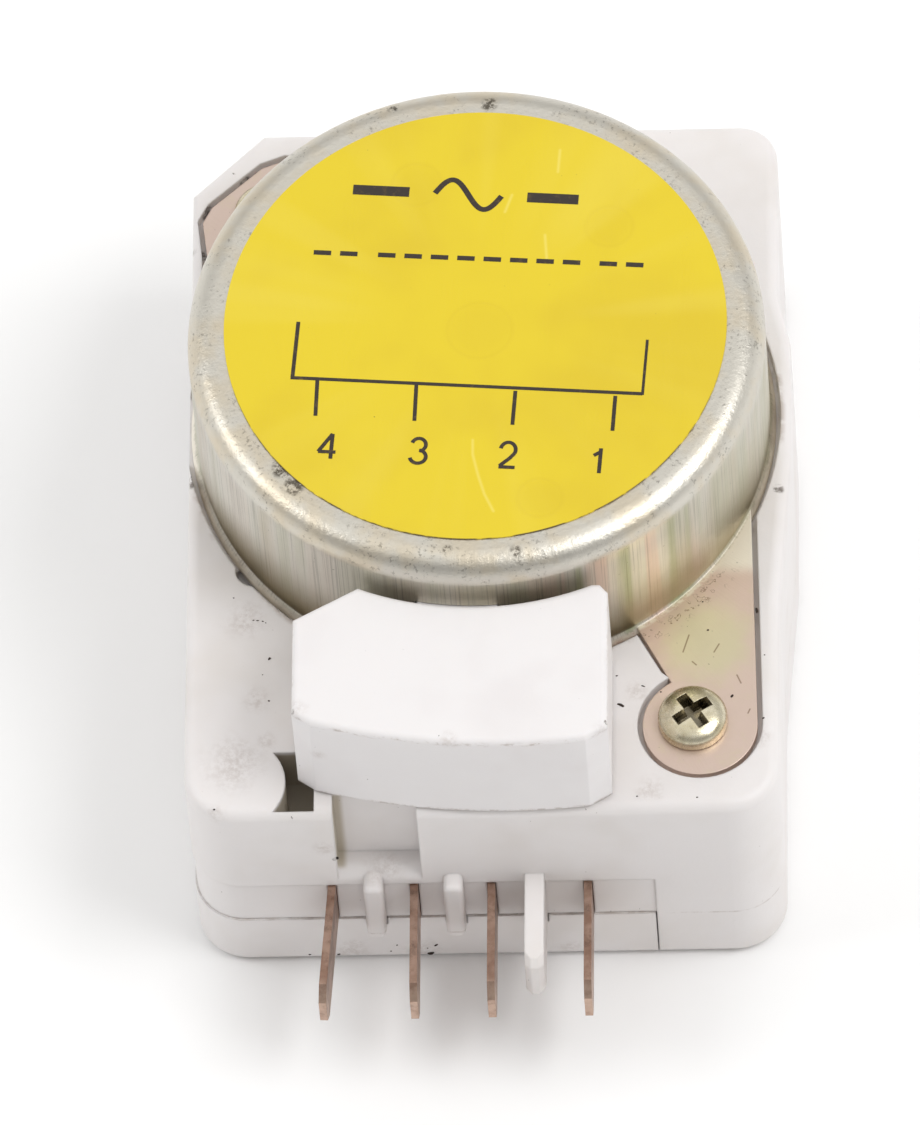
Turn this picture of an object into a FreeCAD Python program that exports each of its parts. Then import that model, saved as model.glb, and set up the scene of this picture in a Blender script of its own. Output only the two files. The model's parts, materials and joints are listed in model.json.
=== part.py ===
import FreeCAD, Part
import math
import os
import Sketcher
from FreeCAD import Placement, Rotation, Vector

# Defrost timer: a white moulded housing with four flat tabs at its front, closed from below by a tray, and a
# synchronous gear motor in a round steel can on its deck. The motor's last pinion drives an idler and a cam
# in the housing, and the cam's two tracks let two of the three leaf contacts drop.
# Origin at the centre of the housing's underside, X to the right, Y to the back, Z up, millimetres.

doc = FreeCAD.newDocument("DefrostTimer")
sheet = doc.addObject("Spreadsheet::Sheet", "Sizes")

SIZES = [
    # housing
    ("case_width", 46.0),
    ("case_depth", 62.6),
    ("case_height", 22.1),
    ("case_wall", 1.8),
    ("deck_thick", 2.0),
    ("floor_thick", 2.0),
    ("front_corner", 4.0),
    ("back_corner", 3.0),
    ("back_chamfer", 5.5),
    ("top_round", 0.9),
    ("bottom_round", 0.8),
    ("bulge_out", 1.0),
    ("bulge_wall", 1.4),
    ("bulge_start", -12.3),
    ("bulge_front", 0.7),
    ("bulge_back", 11.1),
    ("bulge_end", 15.5),
    ("split_x", 13.0),
    ("cover_height", 6.3),
    ("part_gap", 0.1),
    ("band_top", 11.45),
    ("band_depth", 0.15),
    ("tongue_width", 5.0),
    ("tongue_thick", 1.1),
    ("tongue_top", 12.0),
    ("barb_out", 0.4),
    ("barb_level", 9.0),
    ("barb_height", 1.2),
    ("mount_hole_radius", 1.6),
    ("mount_hole_depth", 8.5),
    ("mount_boss_radius", 3.2),
    ("mount_boss_top", 9.5),
    ("mount_x", 17.2),
    ("mount_middle_y", 3.0),
    ("mount_spacing", 34.0),
    # lead pocket and front notch
    ("pocket_left", -16.1),
    ("pocket_right", -12.9),
    ("pocket_front", -30.85),
    ("pocket_back", -25.6),
    ("pocket_bulge_radius", 4.0),
    ("pocket_depth", 5.0),
    ("lead_hole_right", -8.7),
    ("lead_hole_front", -27.6),
    ("lead_hole_back", -24.6),
    ("notch_left", -11.5),
    ("notch_right", -5.0),
    ("notch_depth", 2.0),
    ("notch_floor", 13.2),
    ("notch_lip", 1.2),
    ("notch_wall", 1.5),
    ("foot_recess_x", -17.8),
    ("foot_recess_y", -9.1),
    ("foot_recess_radius", 1.4),
    # tabs
    ("tab_4_x", -12.06),
    ("tab_3_x", -5.68),
    ("tab_2_x", 0.32),
    ("tab_1_x", 7.81),
    ("tab_thick", 0.6),
    ("tab_height", 4.8),
    ("tab_bottom", 6.49),
    ("tab_reach", 9.85),
    ("tab_tip", 1.1),
    ("tab_splay", 4.0),
    ("tab_inner_length", 5.0),
    ("shoulder_rise", 1.2),
    ("shoulder_length", 1.5),
    ("slot_gap", 0.06),
    # fins on the front wall
    ("fin_thick", 1.5),
    ("fin_out", 1.4),
    ("fin_end_round", 0.65),
    ("fin_nose_round", 0.4),
    ("fin_bottom", 5.4),
    ("fin_top", 12.9),
    ("fin_1_x", -8.8),
    ("fin_2_x", -2.6),
    ("key_x", 3.72),
    ("key_out", 8.2),
    ("key_tip_top", 12.7),
    ("key_tip_bottom", 7.6),
    ("key_tip_chamfer", 0.45),
    # motor can
    ("motor_x", 0.0),
    ("motor_y", 4.25),
    ("can_radius", 22.4),
    ("can_rim_radius", 22.85),
    ("can_rim_height", 0.6),
    ("can_top", 36.1),
    ("can_wall", 0.8),
    ("can_shoulder", 2.0),
    ("seat_radius", 23.2),
    ("seat_depth", 1.0),
    ("seat_gap", 0.05),
    ("label_radius", 19.49),
    ("label_thick", 0.1),
    ("ear_radius", 4.45),
    ("ear_thick", 0.8),
    ("ear_recess_gap", 0.4),
    ("ear_1_x", 16.9),
    ("ear_1_y", -23.7),
    ("screw_1_x", 16.35),
    ("screw_1_y", -23.35),
    ("screw_2_x", -17.0),
    ("screw_2_y", 23.5),
    ("screw_radius", 1.5),
    ("screw_head_radius", 2.7),
    ("screw_head_height", 1.7),
    ("screw_length", 9.0),
    ("cross_width", 0.85),
    ("cross_length", 3.2),
    ("cross_depth", 0.9),
    ("screw_boss_radius", 3.0),
    # lead cover
    ("lead_cover_bottom", 22.4),
    ("lead_cover_top", 32.6),
    ("lead_cover_wall", 1.2),
    ("lead_cover_left", -14.1),
    ("lead_cover_right", 10.15),
    ("lead_cover_back_radius", 23.2),
    ("neck_left", -4.6),
    ("neck_right", 1.6),
    ("neck_bottom", 26.6),
    ("neck_top", 31.0),
    ("neck_wall", 0.9),
    ("neck_gap", 0.15),
    ("neck_end_radius", 20.9),
    # coil leads
    ("lead_radius", 0.6),
    ("lead_level", 29.2),
    ("lead_end_y", -26.2),
    ("lead_3_x", -11.2),
    ("lead_1_x", -9.7),
    # motor inside
    ("plate_radius", 21.4),
    ("plate_thick", 1.0),
    ("pole_plate_level", 26.5),
    ("pole_plate_thick", 0.8),
    ("pole_plate_radius", 20.5),
    ("pole_ring_radius", 8.8),
    ("pole_finger_thick", 0.8),
    ("pole_finger_width", 1.7),
    ("pole_count", 12.0),
    ("bobbin_bore_radius", 10.0),
    ("bobbin_wall", 0.8),
    ("bobbin_radius", 20.6),
    ("winding_radius", 19.5),
    ("rotor_radius", 8.2),
    ("rotor_hub_radius", 3.0),
    ("rotor_pin_radius", 0.6),
    ("rotor_bottom", 27.8),
    ("rotor_top", 34.2),
    ("pin_radius", 0.6),
    ("running_gap", 0.05),
    # gears
    ("gear_module", 0.3),
    ("wheel_teeth", 48.0),
    ("pinion_teeth", 12.0),
    ("output_teeth", 45.0),
    ("idler_teeth", 68.0),
    ("idler_pinion_teeth", 16.0),
    ("cam_gear_teeth", 80.0),
    ("first_gear_direction", 70.0),
    ("output_direction", 205.0),
    ("idler_direction", 135.0),
    ("gear_thick", 0.8),
    ("gear_gap", 0.35),
    ("output_shaft_radius", 1.25),
    ("output_hole_radius", 2.5),
    ("output_pinion_bottom", 16.4),
    ("idler_level", 16.7),
    ("idler_thick", 1.2),
    ("idler_pinion_length", 3.1),
    ("idler_pin_radius", 1.0),
    ("idler_pin_bottom", 12.2),
    ("column_radius", 2.2),
    # cam
    ("cam_x", 9.8),
    ("cam_y", 5.7),
    ("cam_radius", 6.0),
    ("cam_drop", 1.2),
    ("cam_core_radius", 4.4),
    ("track_3_bottom", 6.8),
    ("track_2_bottom", 9.2),
    ("track_height", 1.8),
    ("cam_notch_angle", 24.0),
    ("cam_notch_ramp", 10.0),
    ("journal_radius", 4.0),
    ("journal_recess", 0.4),
    ("flange_radius", 6.9),
    ("flange_thick", 1.0),
    ("cam_gear_level", 13.8),
    ("cam_gear_thick", 1.6),
    ("cam_hub_radius", 2.5),
    ("cam_hub_top", 17.2),
    ("cam_pin_radius", 1.2),
    ("cam_pin_bottom", 14.9),
    ("drive_slot_width", 1.4),
    ("drive_slot_length", 6.4),
    ("drive_slot_depth", 1.6),
    ("clutch_radius", 4.5),
    ("clutch_thick", 0.5),
    # contact blades
    ("blade_thick", 0.3),
    ("blade_bottom", 7.0),
    ("blade_height", 3.5),
    ("blade_root_y", -27.0),
    ("blade_joggle_y", -20.0),
    ("contact_y", -12.0),
    ("contact_radius", 1.3),
    ("contact_height", 0.8),
    ("contact_touch", 0.06),
    ("contact_break", 0.75),
    ("finger_3_y", 4.9),
    ("finger_2_y", 7.1),
    ("finger_thick", 0.5),
    ("finger_gap", 0.06),
]


class Size:
    """A number together with the sheet expression that it comes from, so that sums keep both."""

    def __init__(self, number, text):
        self.number = number
        self.text = text

    def __add__(self, other):
        other = as_size(other)
        return Size(self.number + other.number, f"({self.text} + {other.text})")

    def __sub__(self, other):
        other = as_size(other)
        return Size(self.number - other.number, f"({self.text} - {other.text})")

    def __mul__(self, other):
        other = as_size(other)
        return Size(self.number * other.number, f"({self.text} * {other.text})")

    def __truediv__(self, other):
        other = as_size(other)
        return Size(self.number / other.number, f"({self.text} / {other.text})")

    def __neg__(self):
        return Size(-self.number, f"(0 - {self.text})")

    def __rsub__(self, other):
        return as_size(other) - self

    __radd__ = __add__
    __rmul__ = __mul__


def as_size(value):
    if isinstance(value, Size):
        return value
    return Size(float(value), f"{float(value):.6f}" if value >= 0 else f"(0 - {-float(value):.6f})")


def root(value):
    return Size(math.sqrt(value.number), f"sqrt({value.text})")


def cosine(angle):
    angle = as_size(angle)
    return Size(math.cos(math.radians(angle.number)), f"cos({angle.text})")


def sine(angle):
    angle = as_size(angle)
    return Size(math.sin(math.radians(angle.number)), f"sin({angle.text})")


class Sheet:
    """The driving dimensions as attributes, each a Size bound to its cell."""


S = Sheet()
for row, (alias, value) in enumerate(SIZES, start=1):
    sheet.set(f"A{row}", alias)
    sheet.set(f"B{row}", repr(value))
    sheet.setAlias(f"B{row}", alias)
doc.recompute()
for alias, value in SIZES:
    setattr(S, alias, Size(float(sheet.get(alias)), f"Sizes.{alias}"))


# Helpers for sketches and features

def origin_plane(body, role):
    return next(f for f in body.Origin.OriginFeatures if f.Role == role)


def new_body(label):
    body = doc.addObject("PartDesign::Body", label)
    body.Label = label
    return body


def new_sketch(body, name, role="XY_Plane", at=(0, 0, 0), turn_about=None, turn=0.0):
    """A sketch on one of the body's origin planes, moved by at in the plane's own directions."""
    sketch = body.newObject("Sketcher::SketchObject", f"{body.Name}_{name}")
    sketch.AttachmentSupport = [(origin_plane(body, role), "")]
    sketch.MapMode = "FlatFace"
    base = [as_size(v) for v in at]
    rotation = Rotation(turn_about, turn) if turn_about else Rotation()
    sketch.AttachmentOffset = Placement(Vector(*[b.number for b in base]), rotation)
    for letter, b in zip("xyz", base):
        if b.text.find("Sizes") >= 0:
            sketch.setExpression(f"AttachmentOffset.Base.{letter}", b.text)
    return sketch


def bind(sketch, kind, *arguments):
    """Adds a constraint whose last argument is a Size, bound to its expression."""
    *geometry, size = arguments
    index = sketch.addConstraint(Sketcher.Constraint(kind, *geometry, size.number))
    if "Sizes" in size.text:
        sketch.setExpression(f"Constraints[{index}]", size.text)


def expand_corners(corners):
    """Turns corners into vertices and arcs. A corner is (x, y) or (x, y, radius), the radius on square corners."""
    points = [(as_size(c[0]), as_size(c[1]), as_size(c[2]) if len(c) > 2 else None) for c in corners]
    vertices = []
    arcs = {}
    count = len(points)
    for i, (x, y, radius) in enumerate(points):
        if radius is None:
            vertices.append((x, y))
            continue
        before = points[i - 1]
        after = points[(i + 1) % count]
        way_in = unit(before, (x, y))
        way_out = unit((x, y), after)
        start = (x - radius * way_in[0], y - radius * way_in[1])
        end = (x + radius * way_out[0], y + radius * way_out[1])
        centre = (start[0] + radius * way_out[0], start[1] + radius * way_out[1])
        left_turn = way_in[0] * way_out[1] - way_in[1] * way_out[0] > 0
        arcs[len(vertices)] = (centre[0].number, centre[1].number, radius, left_turn)
        vertices += [start, end]
    return vertices, arcs


def unit(start, end):
    """The direction between two points of a side that runs along X or Y."""
    dx = end[0].number - start[0].number
    dy = end[1].number - start[1].number
    if abs(dx) > abs(dy):
        return (math.copysign(1.0, dx), 0.0)
    return (0.0, math.copysign(1.0, dy))


def outline(sketch, corners, arcs=None):
    """A closed outline. arcs maps a vertex number to (centre x, centre y, radius, anticlockwise) of its next side."""
    vertices, rounded = expand_corners(corners)
    arcs = rounded if arcs is None else arcs
    count = len(vertices)
    ends = []
    for i, (x, y) in enumerate(vertices):
        nx, ny = vertices[(i + 1) % count]
        if i in arcs:
            cx, cy, radius, left = arcs[i]
            first, last = ((x, y), (nx, ny)) if left else ((nx, ny), (x, y))
            start = math.atan2(first[1].number - cy, first[0].number - cx)
            end = math.atan2(last[1].number - cy, last[0].number - cx)
            if end <= start:
                end += 2 * math.pi
            circle = Part.Circle(Vector(cx, cy, 0), Vector(0, 0, 1), radius.number)
            index = sketch.addGeometry(Part.ArcOfCircle(circle, start, end), False)
            ends.append((index, 1, 2) if left else (index, 2, 1))
            bind(sketch, "Radius", index, radius)
        else:
            index = sketch.addGeometry(
                Part.LineSegment(Vector(x.number, y.number, 0), Vector(nx.number, ny.number, 0)), False
            )
            ends.append((index, 1, 2))
    for i, (x, y) in enumerate(vertices):
        index, first, last = ends[i]
        previous, _, previous_last = ends[i - 1]
        sketch.addConstraint(Sketcher.Constraint("Coincident", previous, previous_last, index, first))
        bind(sketch, "DistanceX", -1, 1, index, first, x)
        bind(sketch, "DistanceY", -1, 1, index, first, y)


def circle(sketch, x, y, radius):
    x = as_size(x)
    y = as_size(y)
    radius = as_size(radius)
    ring = Part.Circle(Vector(x.number, y.number, 0), Vector(0, 0, 1), radius.number)
    index = sketch.addGeometry(ring, False)
    bind(sketch, "Radius", index, radius)
    bind(sketch, "DistanceX", -1, 1, index, 3, x)
    bind(sketch, "DistanceY", -1, 1, index, 3, y)


def rectangle(sketch, left, front, right, back):
    outline(sketch, [(left, front), (right, front), (right, back), (left, back)])


def feature(body, kind, name, sketch, length=None, reverse=False):
    item = body.newObject(f"PartDesign::{kind}", f"{body.Name}_{name}")
    item.Profile = sketch
    if length is not None:
        length = as_size(length)
        item.Length = length.number
        if "Sizes" in length.text:
            item.setExpression("Length", length.text)
    item.Reversed = reverse
    sketch.Visibility = False
    return item


def pad(body, name, sketch, length):
    return feature(body, "Pad", name, sketch, length)


def pocket(body, name, sketch, depth):
    return feature(body, "Pocket", name, sketch, depth)


def block(body, name, x_range, y_range, z_range):
    """A rectangular boss from the lower to the upper level."""
    sketch = new_sketch(body, f"{name}_plan", at=(0, 0, z_range[0]))
    rectangle(sketch, x_range[0], y_range[0], x_range[1], y_range[1])
    return pad(body, name, sketch, as_size(z_range[1]) - z_range[0])


def cut_block(body, name, x_range, y_range, z_range):
    """A rectangular recess from the upper level down to the lower one."""
    sketch = new_sketch(body, f"{name}_plan", at=(0, 0, z_range[1]))
    rectangle(sketch, x_range[0], y_range[0], x_range[1], y_range[1])
    return pocket(body, name, sketch, as_size(z_range[1]) - z_range[0])


def boss(body, name, x, y, radius, bottom, top):
    sketch = new_sketch(body, f"{name}_plan", at=(0, 0, bottom))
    circle(sketch, x, y, radius)
    return pad(body, name, sketch, as_size(top) - bottom)


def hole(body, name, x, y, radius, bottom, top):
    sketch = new_sketch(body, f"{name}_plan", at=(0, 0, top))
    circle(sketch, x, y, radius)
    return pocket(body, name, sketch, as_size(top) - bottom)


def revolve(body, name, x, y, corners):
    """A turned piece about the vertical line at x, y. corners are (radius, level) or (radius, level, rounding)."""
    sketch = new_sketch(body, f"{name}_section", "XZ_Plane", at=(x, 0, -as_size(y)))
    outline(sketch, corners)
    item = feature(body, "Revolution", name, sketch)
    item.ReferenceAxis = (sketch, ["V_Axis"])
    item.Angle = 360.0
    return item


def round_edges(body, name, radius, wanted, kind="Fillet"):
    """Rounds or chamfers the edges of the body's last feature for which wanted(edge) is true."""
    doc.recompute()
    base = body.Tip
    names = [f"Edge{i}" for i, edge in enumerate(base.Shape.Edges, start=1) if wanted(edge)]
    item = body.newObject(f"PartDesign::{kind}", f"{body.Name}_{name}")
    item.Base = (base, names)
    field = "Radius" if kind == "Fillet" else "Size"
    radius = as_size(radius)
    setattr(item, field, radius.number)
    if "Sizes" in radius.text:
        item.setExpression(field, radius.text)
    return item


def turned_pattern(body, name, originals, sketch, count):
    item = body.newObject("PartDesign::PolarPattern", f"{body.Name}_{name}")
    item.Originals = originals
    item.Axis = (sketch, ["N_Axis"])
    item.Angle = 360.0
    item.Occurrences = int(round(count.number))
    if "Sizes" in count.text:
        item.setExpression("Occurrences", count.text)
    body.Tip = item
    return item


def on_level(edge, level, slack=0.01):
    box = edge.BoundBox
    return abs(box.ZMin - level) < slack and abs(box.ZMax - level) < slack


def upright_at(edge, x, y, slack=0.3):
    box = edge.BoundBox
    return (
        box.XLength < slack / 10
        and box.YLength < slack / 10
        and abs(box.Center.x - x) < slack
        and abs(box.Center.y - y) < slack
    )


# Places that several pieces share

half_width = S.case_width / 2
half_depth = S.case_depth / 2
deck_under = S.case_height - S.deck_thick
seat_level = S.case_height - S.seat_depth
foot_level = seat_level + S.seat_gap
tab_top = S.tab_bottom + S.tab_height
front_face = -half_depth
inner_front = S.case_wall - half_depth
far = S.case_width + S.case_depth

wheel_radius = S.wheel_teeth * S.gear_module / 2
pinion_radius = S.pinion_teeth * S.gear_module / 2
output_radius = S.output_teeth * S.gear_module / 2
idler_radius = S.idler_teeth * S.gear_module / 2
idler_pinion_radius = S.idler_pinion_teeth * S.gear_module / 2
cam_gear_radius = S.cam_gear_teeth * S.gear_module / 2

idler_reach = cam_gear_radius + idler_pinion_radius
idler_x = S.cam_x + idler_reach * cosine(S.idler_direction)
idler_y = S.cam_y + idler_reach * sine(S.idler_direction)
output_reach = idler_radius + pinion_radius
output_x = idler_x + output_reach * cosine(S.output_direction)
output_y = idler_y + output_reach * sine(S.output_direction)
train_reach = wheel_radius + pinion_radius
last_reach = output_radius + pinion_radius
first_x = S.motor_x + train_reach * cosine(S.first_gear_direction)
first_y = S.motor_y + train_reach * sine(S.first_gear_direction)

# The second gear stands where it meets both the first gear's pinion and the output wheel.
span_x = output_x - first_x
span_y = output_y - first_y
span = root(span_x * span_x + span_y * span_y)
along = (train_reach * train_reach - last_reach * last_reach + span * span) / (span * 2)
aside = root(train_reach * train_reach - along * along)
second_x = first_x + span_x * along / span + span_y * aside / span
second_y = first_y + span_y * along / span - span_x * aside / span

# Levels of the motor's gears, from the pole plate down.
level_1 = S.pole_plate_level - S.gear_gap - S.gear_thick
level_2 = level_1 - S.gear_gap - S.gear_thick
level_3 = level_2 - S.gear_gap - S.gear_thick
plate_top = foot_level + S.plate_thick
pole_top_level = S.can_top - S.can_wall - S.pole_plate_thick - S.seat_gap


def case_outline(inset, bulge_inset=None):
    """The housing's plan, brought in by inset all round."""
    inset = as_size(inset)
    bulge_inset = inset if bulge_inset is None else bulge_inset
    side = half_width - inset
    end = half_depth - inset
    bulge = half_width + S.bulge_out - bulge_inset
    diagonal = inset * (math.sqrt(2) - 1)
    front_radius = S.front_corner - inset
    return [
        (-side, -end, front_radius),
        (side, -end, front_radius),
        (side, S.bulge_start + inset),
        (bulge, S.bulge_front + inset * 0.2),
        (bulge, S.bulge_back - inset * 0.2),
        (side, S.bulge_end - inset),
        (side, end, S.back_corner - inset),
        (S.back_chamfer + diagonal - half_width, end),
        (-side, half_depth - S.back_chamfer - diagonal),
    ]


def front_ear(margin):
    """The front ear's plan: a round end, a straight outer side and a short inner side running into the can."""
    margin = as_size(margin)
    radius = S.ear_radius + margin
    side = S.ear_1_x + radius
    corners = [
        (side - 0.5, S.ear_1_y + 20.4),
        (S.motor_x + 9.0, S.motor_y - 9.0),
        (S.ear_1_x - 4.8 - margin, S.ear_1_y + 8.7),
        (S.ear_1_x - 2.6 - margin, S.ear_1_y + 4.5 + margin * 0.5),
        (S.ear_1_x + radius * cosine(120.0), S.ear_1_y + radius * sine(120.0)),
        (side, S.ear_1_y),
    ]
    return corners, {4: (S.ear_1_x.number, S.ear_1_y.number, radius, True)}


def back_ear(margin):
    """The back ear's plan, which fills the housing's bevelled corner."""
    margin = as_size(margin)
    x = S.screw_2_x
    y = S.screw_2_y
    corners = [
        (x - 4.6 - margin, y - 14.5),
        (S.motor_x - 9.0, S.motor_y + 9.0),
        (x + 8.4 + margin, y + 0.6),
        (x + 4.3 + margin * 0.5, y + 5.0 + margin),
        (x + 1.2, y + 5.3 + margin),
        (x - 0.6 - margin * 0.4, y + 4.6 + margin * 0.9),
        (x - 4.5 - margin * 0.7, y + 1.0 + margin * 0.7),
        (x - 5.2 - margin, y - 0.4 + margin * 0.4),
        (x - 4.8 - margin, y - 3.7),
    ]
    return corners, {}


TABS = [
    ("4", S.tab_4_x, S.tab_splay),
    ("3", S.tab_3_x, as_size(0)),
    ("2", S.tab_2_x, as_size(0)),
    ("1", S.tab_1_x, as_size(0)),
]
SMALL_FINS = [("1", S.fin_1_x), ("2", S.fin_2_x)]
TONGUES = [("a", -1, -8.0), ("b", -1, 12.0), ("c", 1, -20.0), ("d", 1, 22.0)]


def make_upper_case():
    body = new_body("upper_case")
    plan = new_sketch(body, "plan")
    outline(plan, case_outline(0))
    pad(body, "block", plan, S.case_height)
    round_edges(body, "top_edge", S.top_round, lambda e: on_level(e, S.case_height.number))
    round_edges(body, "bottom_edge", S.bottom_round, lambda e: on_level(e, 0))

    inside = new_sketch(body, "inside", at=(0, 0, deck_under))
    outline(inside, case_outline(S.case_wall, S.bulge_wall))
    pocket(body, "cavity", inside, deck_under)
    cut_block(body, "cover_rebate", (-far, S.split_x), (-far, far), (0, S.cover_height))

    band = new_sketch(body, "band", at=(0, 0, S.band_top))
    edge_x = S.band_depth - half_width
    edge_y = S.band_depth - half_depth
    back_end = half_depth - S.back_chamfer - 1.0
    corner = S.front_corner - S.band_depth
    outline(band, [
        (S.split_x, edge_y),
        (edge_x, edge_y, corner),
        (edge_x, back_end),
        (-far, back_end),
        (-far, -far),
        (S.split_x, -far),
    ])
    pocket(body, "band_step", band, S.band_top - S.cover_height)

    # The wall behind the front notch, which also holds two of the tabs down.
    notch_back = S.notch_depth - half_depth
    block(
        body, "notch_back",
        (S.notch_left - S.case_wall, S.notch_right + S.case_wall),
        (inner_front - 0.3, notch_back + S.notch_wall),
        (tab_top + S.shoulder_rise + S.part_gap, deck_under + 0.5),
    )
    for name, x, _ in TABS:
        block(
            body, f"presser_{name}",
            (x - 1.2, x + 1.2),
            (inner_front - 0.3, inner_front + S.shoulder_length),
            (tab_top + S.shoulder_rise + S.part_gap, deck_under + 0.5),
        )
    cut_block(
        body, "front_notch",
        (S.notch_left, S.notch_right), (-far, notch_back), (S.notch_floor, S.case_height + 1.0),
    )
    round_edges(
        body, "notch_lip", S.notch_lip,
        lambda e: on_level(e, S.notch_floor.number)
        and abs(e.BoundBox.Center.y - front_face.number) < 0.05
        and e.BoundBox.XLength > 3,
    )

    for name, x, y in (("front", S.screw_1_x, S.screw_1_y), ("back", S.screw_2_x, S.screw_2_y)):
        boss(body, f"screw_boss_{name}", x, y, S.screw_boss_radius, seat_level - S.screw_length - 1.5, deck_under + 0.5)
    block(
        body, "lead_well_wall",
        (S.pocket_left - 1.6, S.pocket_right + 0.7), (inner_front - 0.3, S.pocket_back + 1.0),
        (S.case_height - S.pocket_depth - 1.0, deck_under + 0.5),
    )
    hole(body, "motor_seat", S.motor_x, S.motor_y, S.seat_radius, seat_level, S.case_height)
    for name, ear in (("front", front_ear), ("back", back_ear)):
        recess = new_sketch(body, f"{name}_recess", at=(0, 0, S.case_height))
        corners, arcs = ear(S.ear_recess_gap)
        outline(recess, corners, arcs)
        pocket(body, f"ear_{name}", recess, S.seat_depth)
    for name, x, y in (("front", S.screw_1_x, S.screw_1_y), ("back", S.screw_2_x, S.screw_2_y)):
        hole(body, f"screw_pilot_{name}", x, y, S.screw_radius, seat_level - S.screw_length, S.case_height)
    hole(body, "output_hole", output_x, output_y, S.output_hole_radius, deck_under - 1.0, S.case_height)

    # Lead pocket beside the lead cover, and the hole below the cover that the two leads go down through.
    lead_pocket = new_sketch(body, "lead_pocket", at=(0, 0, S.case_height))
    middle = (S.pocket_front + S.pocket_back) / 2
    half = (S.pocket_back - S.pocket_front) / 2
    radius = S.pocket_bulge_radius
    centre_x = S.pocket_left - root(radius * radius - half * half)
    outline(
        lead_pocket,
        [
            (S.pocket_left, S.pocket_front),
            (S.pocket_right, S.pocket_front),
            (S.pocket_right, S.pocket_back),
            (S.pocket_left, S.pocket_back),
        ],
        {3: (centre_x.number, middle.number, radius, False)},
    )
    pocket(body, "lead_well", lead_pocket, S.pocket_depth)
    cut_block(
        body, "lead_hole",
        (S.pocket_right - 0.05, S.lead_hole_right), (S.lead_hole_front, S.lead_hole_back),
        (deck_under - 0.5, S.case_height),
    )
    hole(
        body, "foot_recess", S.foot_recess_x, S.foot_recess_y, S.foot_recess_radius,
        S.case_height - 1.7, S.case_height,
    )

    # Slots for the tabs, open downwards until the cover closes them.
    slot = S.tab_thick / 2 + S.slot_gap
    for name, x, _ in TABS:
        cut_block(
            body, f"tab_slot_{name}",
            (x - slot, x + slot), (-far, inner_front + 0.5), (S.cover_height - 1.0, tab_top + S.slot_gap),
        )
    for name, x in SMALL_FINS:
        make_small_fin(body, name, x)
    make_key(body)

    boss(body, "idler_pin", idler_x, idler_y, S.idler_pin_radius, S.idler_pin_bottom, deck_under + 0.5)
    boss(body, "cam_pin", S.cam_x, S.cam_y, S.cam_pin_radius, S.cam_pin_bottom, deck_under + 0.5)
    for name, side, y in TONGUES:
        inner = (half_width - S.case_wall) * side
        deep = inner + (S.barb_out + S.part_gap) * side
        cut_block(
            body, f"barb_groove_{name}",
            tuple(sorted((inner - 0.5 * side, deep), key=lambda v: v.number)),
            (y - S.tongue_width / 2 - 0.3, y + S.tongue_width / 2 + 0.3),
            (S.barb_level - S.part_gap, S.barb_level + S.barb_height + S.part_gap),
        )
    return body


def make_small_fin(body, name, x):
    """A small upright fin in front of the wall, round at its ends and over its nose."""
    nose = front_face - S.fin_out
    left = x - S.fin_thick / 2
    right = x + S.fin_thick / 2
    fin = new_sketch(body, f"fin_{name}_front", "XZ_Plane", at=(0, 0, -nose))
    outline(fin, [
        (left, S.fin_bottom, S.fin_end_round),
        (right, S.fin_bottom, S.fin_end_round),
        (right, S.fin_top, S.fin_end_round),
        (left, S.fin_top, S.fin_end_round),
    ])
    feature(body, "Pad", f"fin_{name}", fin, S.fin_out + 0.7, reverse=True)

    def on_nose(edge):
        box = edge.BoundBox
        inside = box.XMin > left.number - 0.01 and box.XMax < right.number + 0.01
        return inside and box.YMax < nose.number + 0.01 and box.YLength < 0.01

    round_edges(body, f"fin_{name}_nose", S.fin_nose_round, on_nose)


def make_key(body):
    """The long polarising fin, tapered at its tip."""
    side = new_sketch(body, "key_side", "YZ_Plane", at=(0, 0, S.key_x - S.fin_thick / 2))
    tip = front_face - S.key_out
    outline(side, [
        (front_face + 0.7, S.fin_bottom),
        (front_face + 0.7, S.fin_top - 0.2),
        (tip + 0.6, S.key_tip_top),
        (tip, S.key_tip_top - 0.6),
        (tip, S.key_tip_bottom + 0.6),
        (tip + 0.6, S.key_tip_bottom),
        (front_face, S.fin_bottom),
    ])
    pad(body, "key", side, S.fin_thick)
    round_edges(
        body, "key_tip", S.key_tip_chamfer,
        lambda e: e.BoundBox.YMax < tip.number + 0.7 and e.BoundBox.XLength < 0.01,
        "Chamfer",
    )


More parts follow.
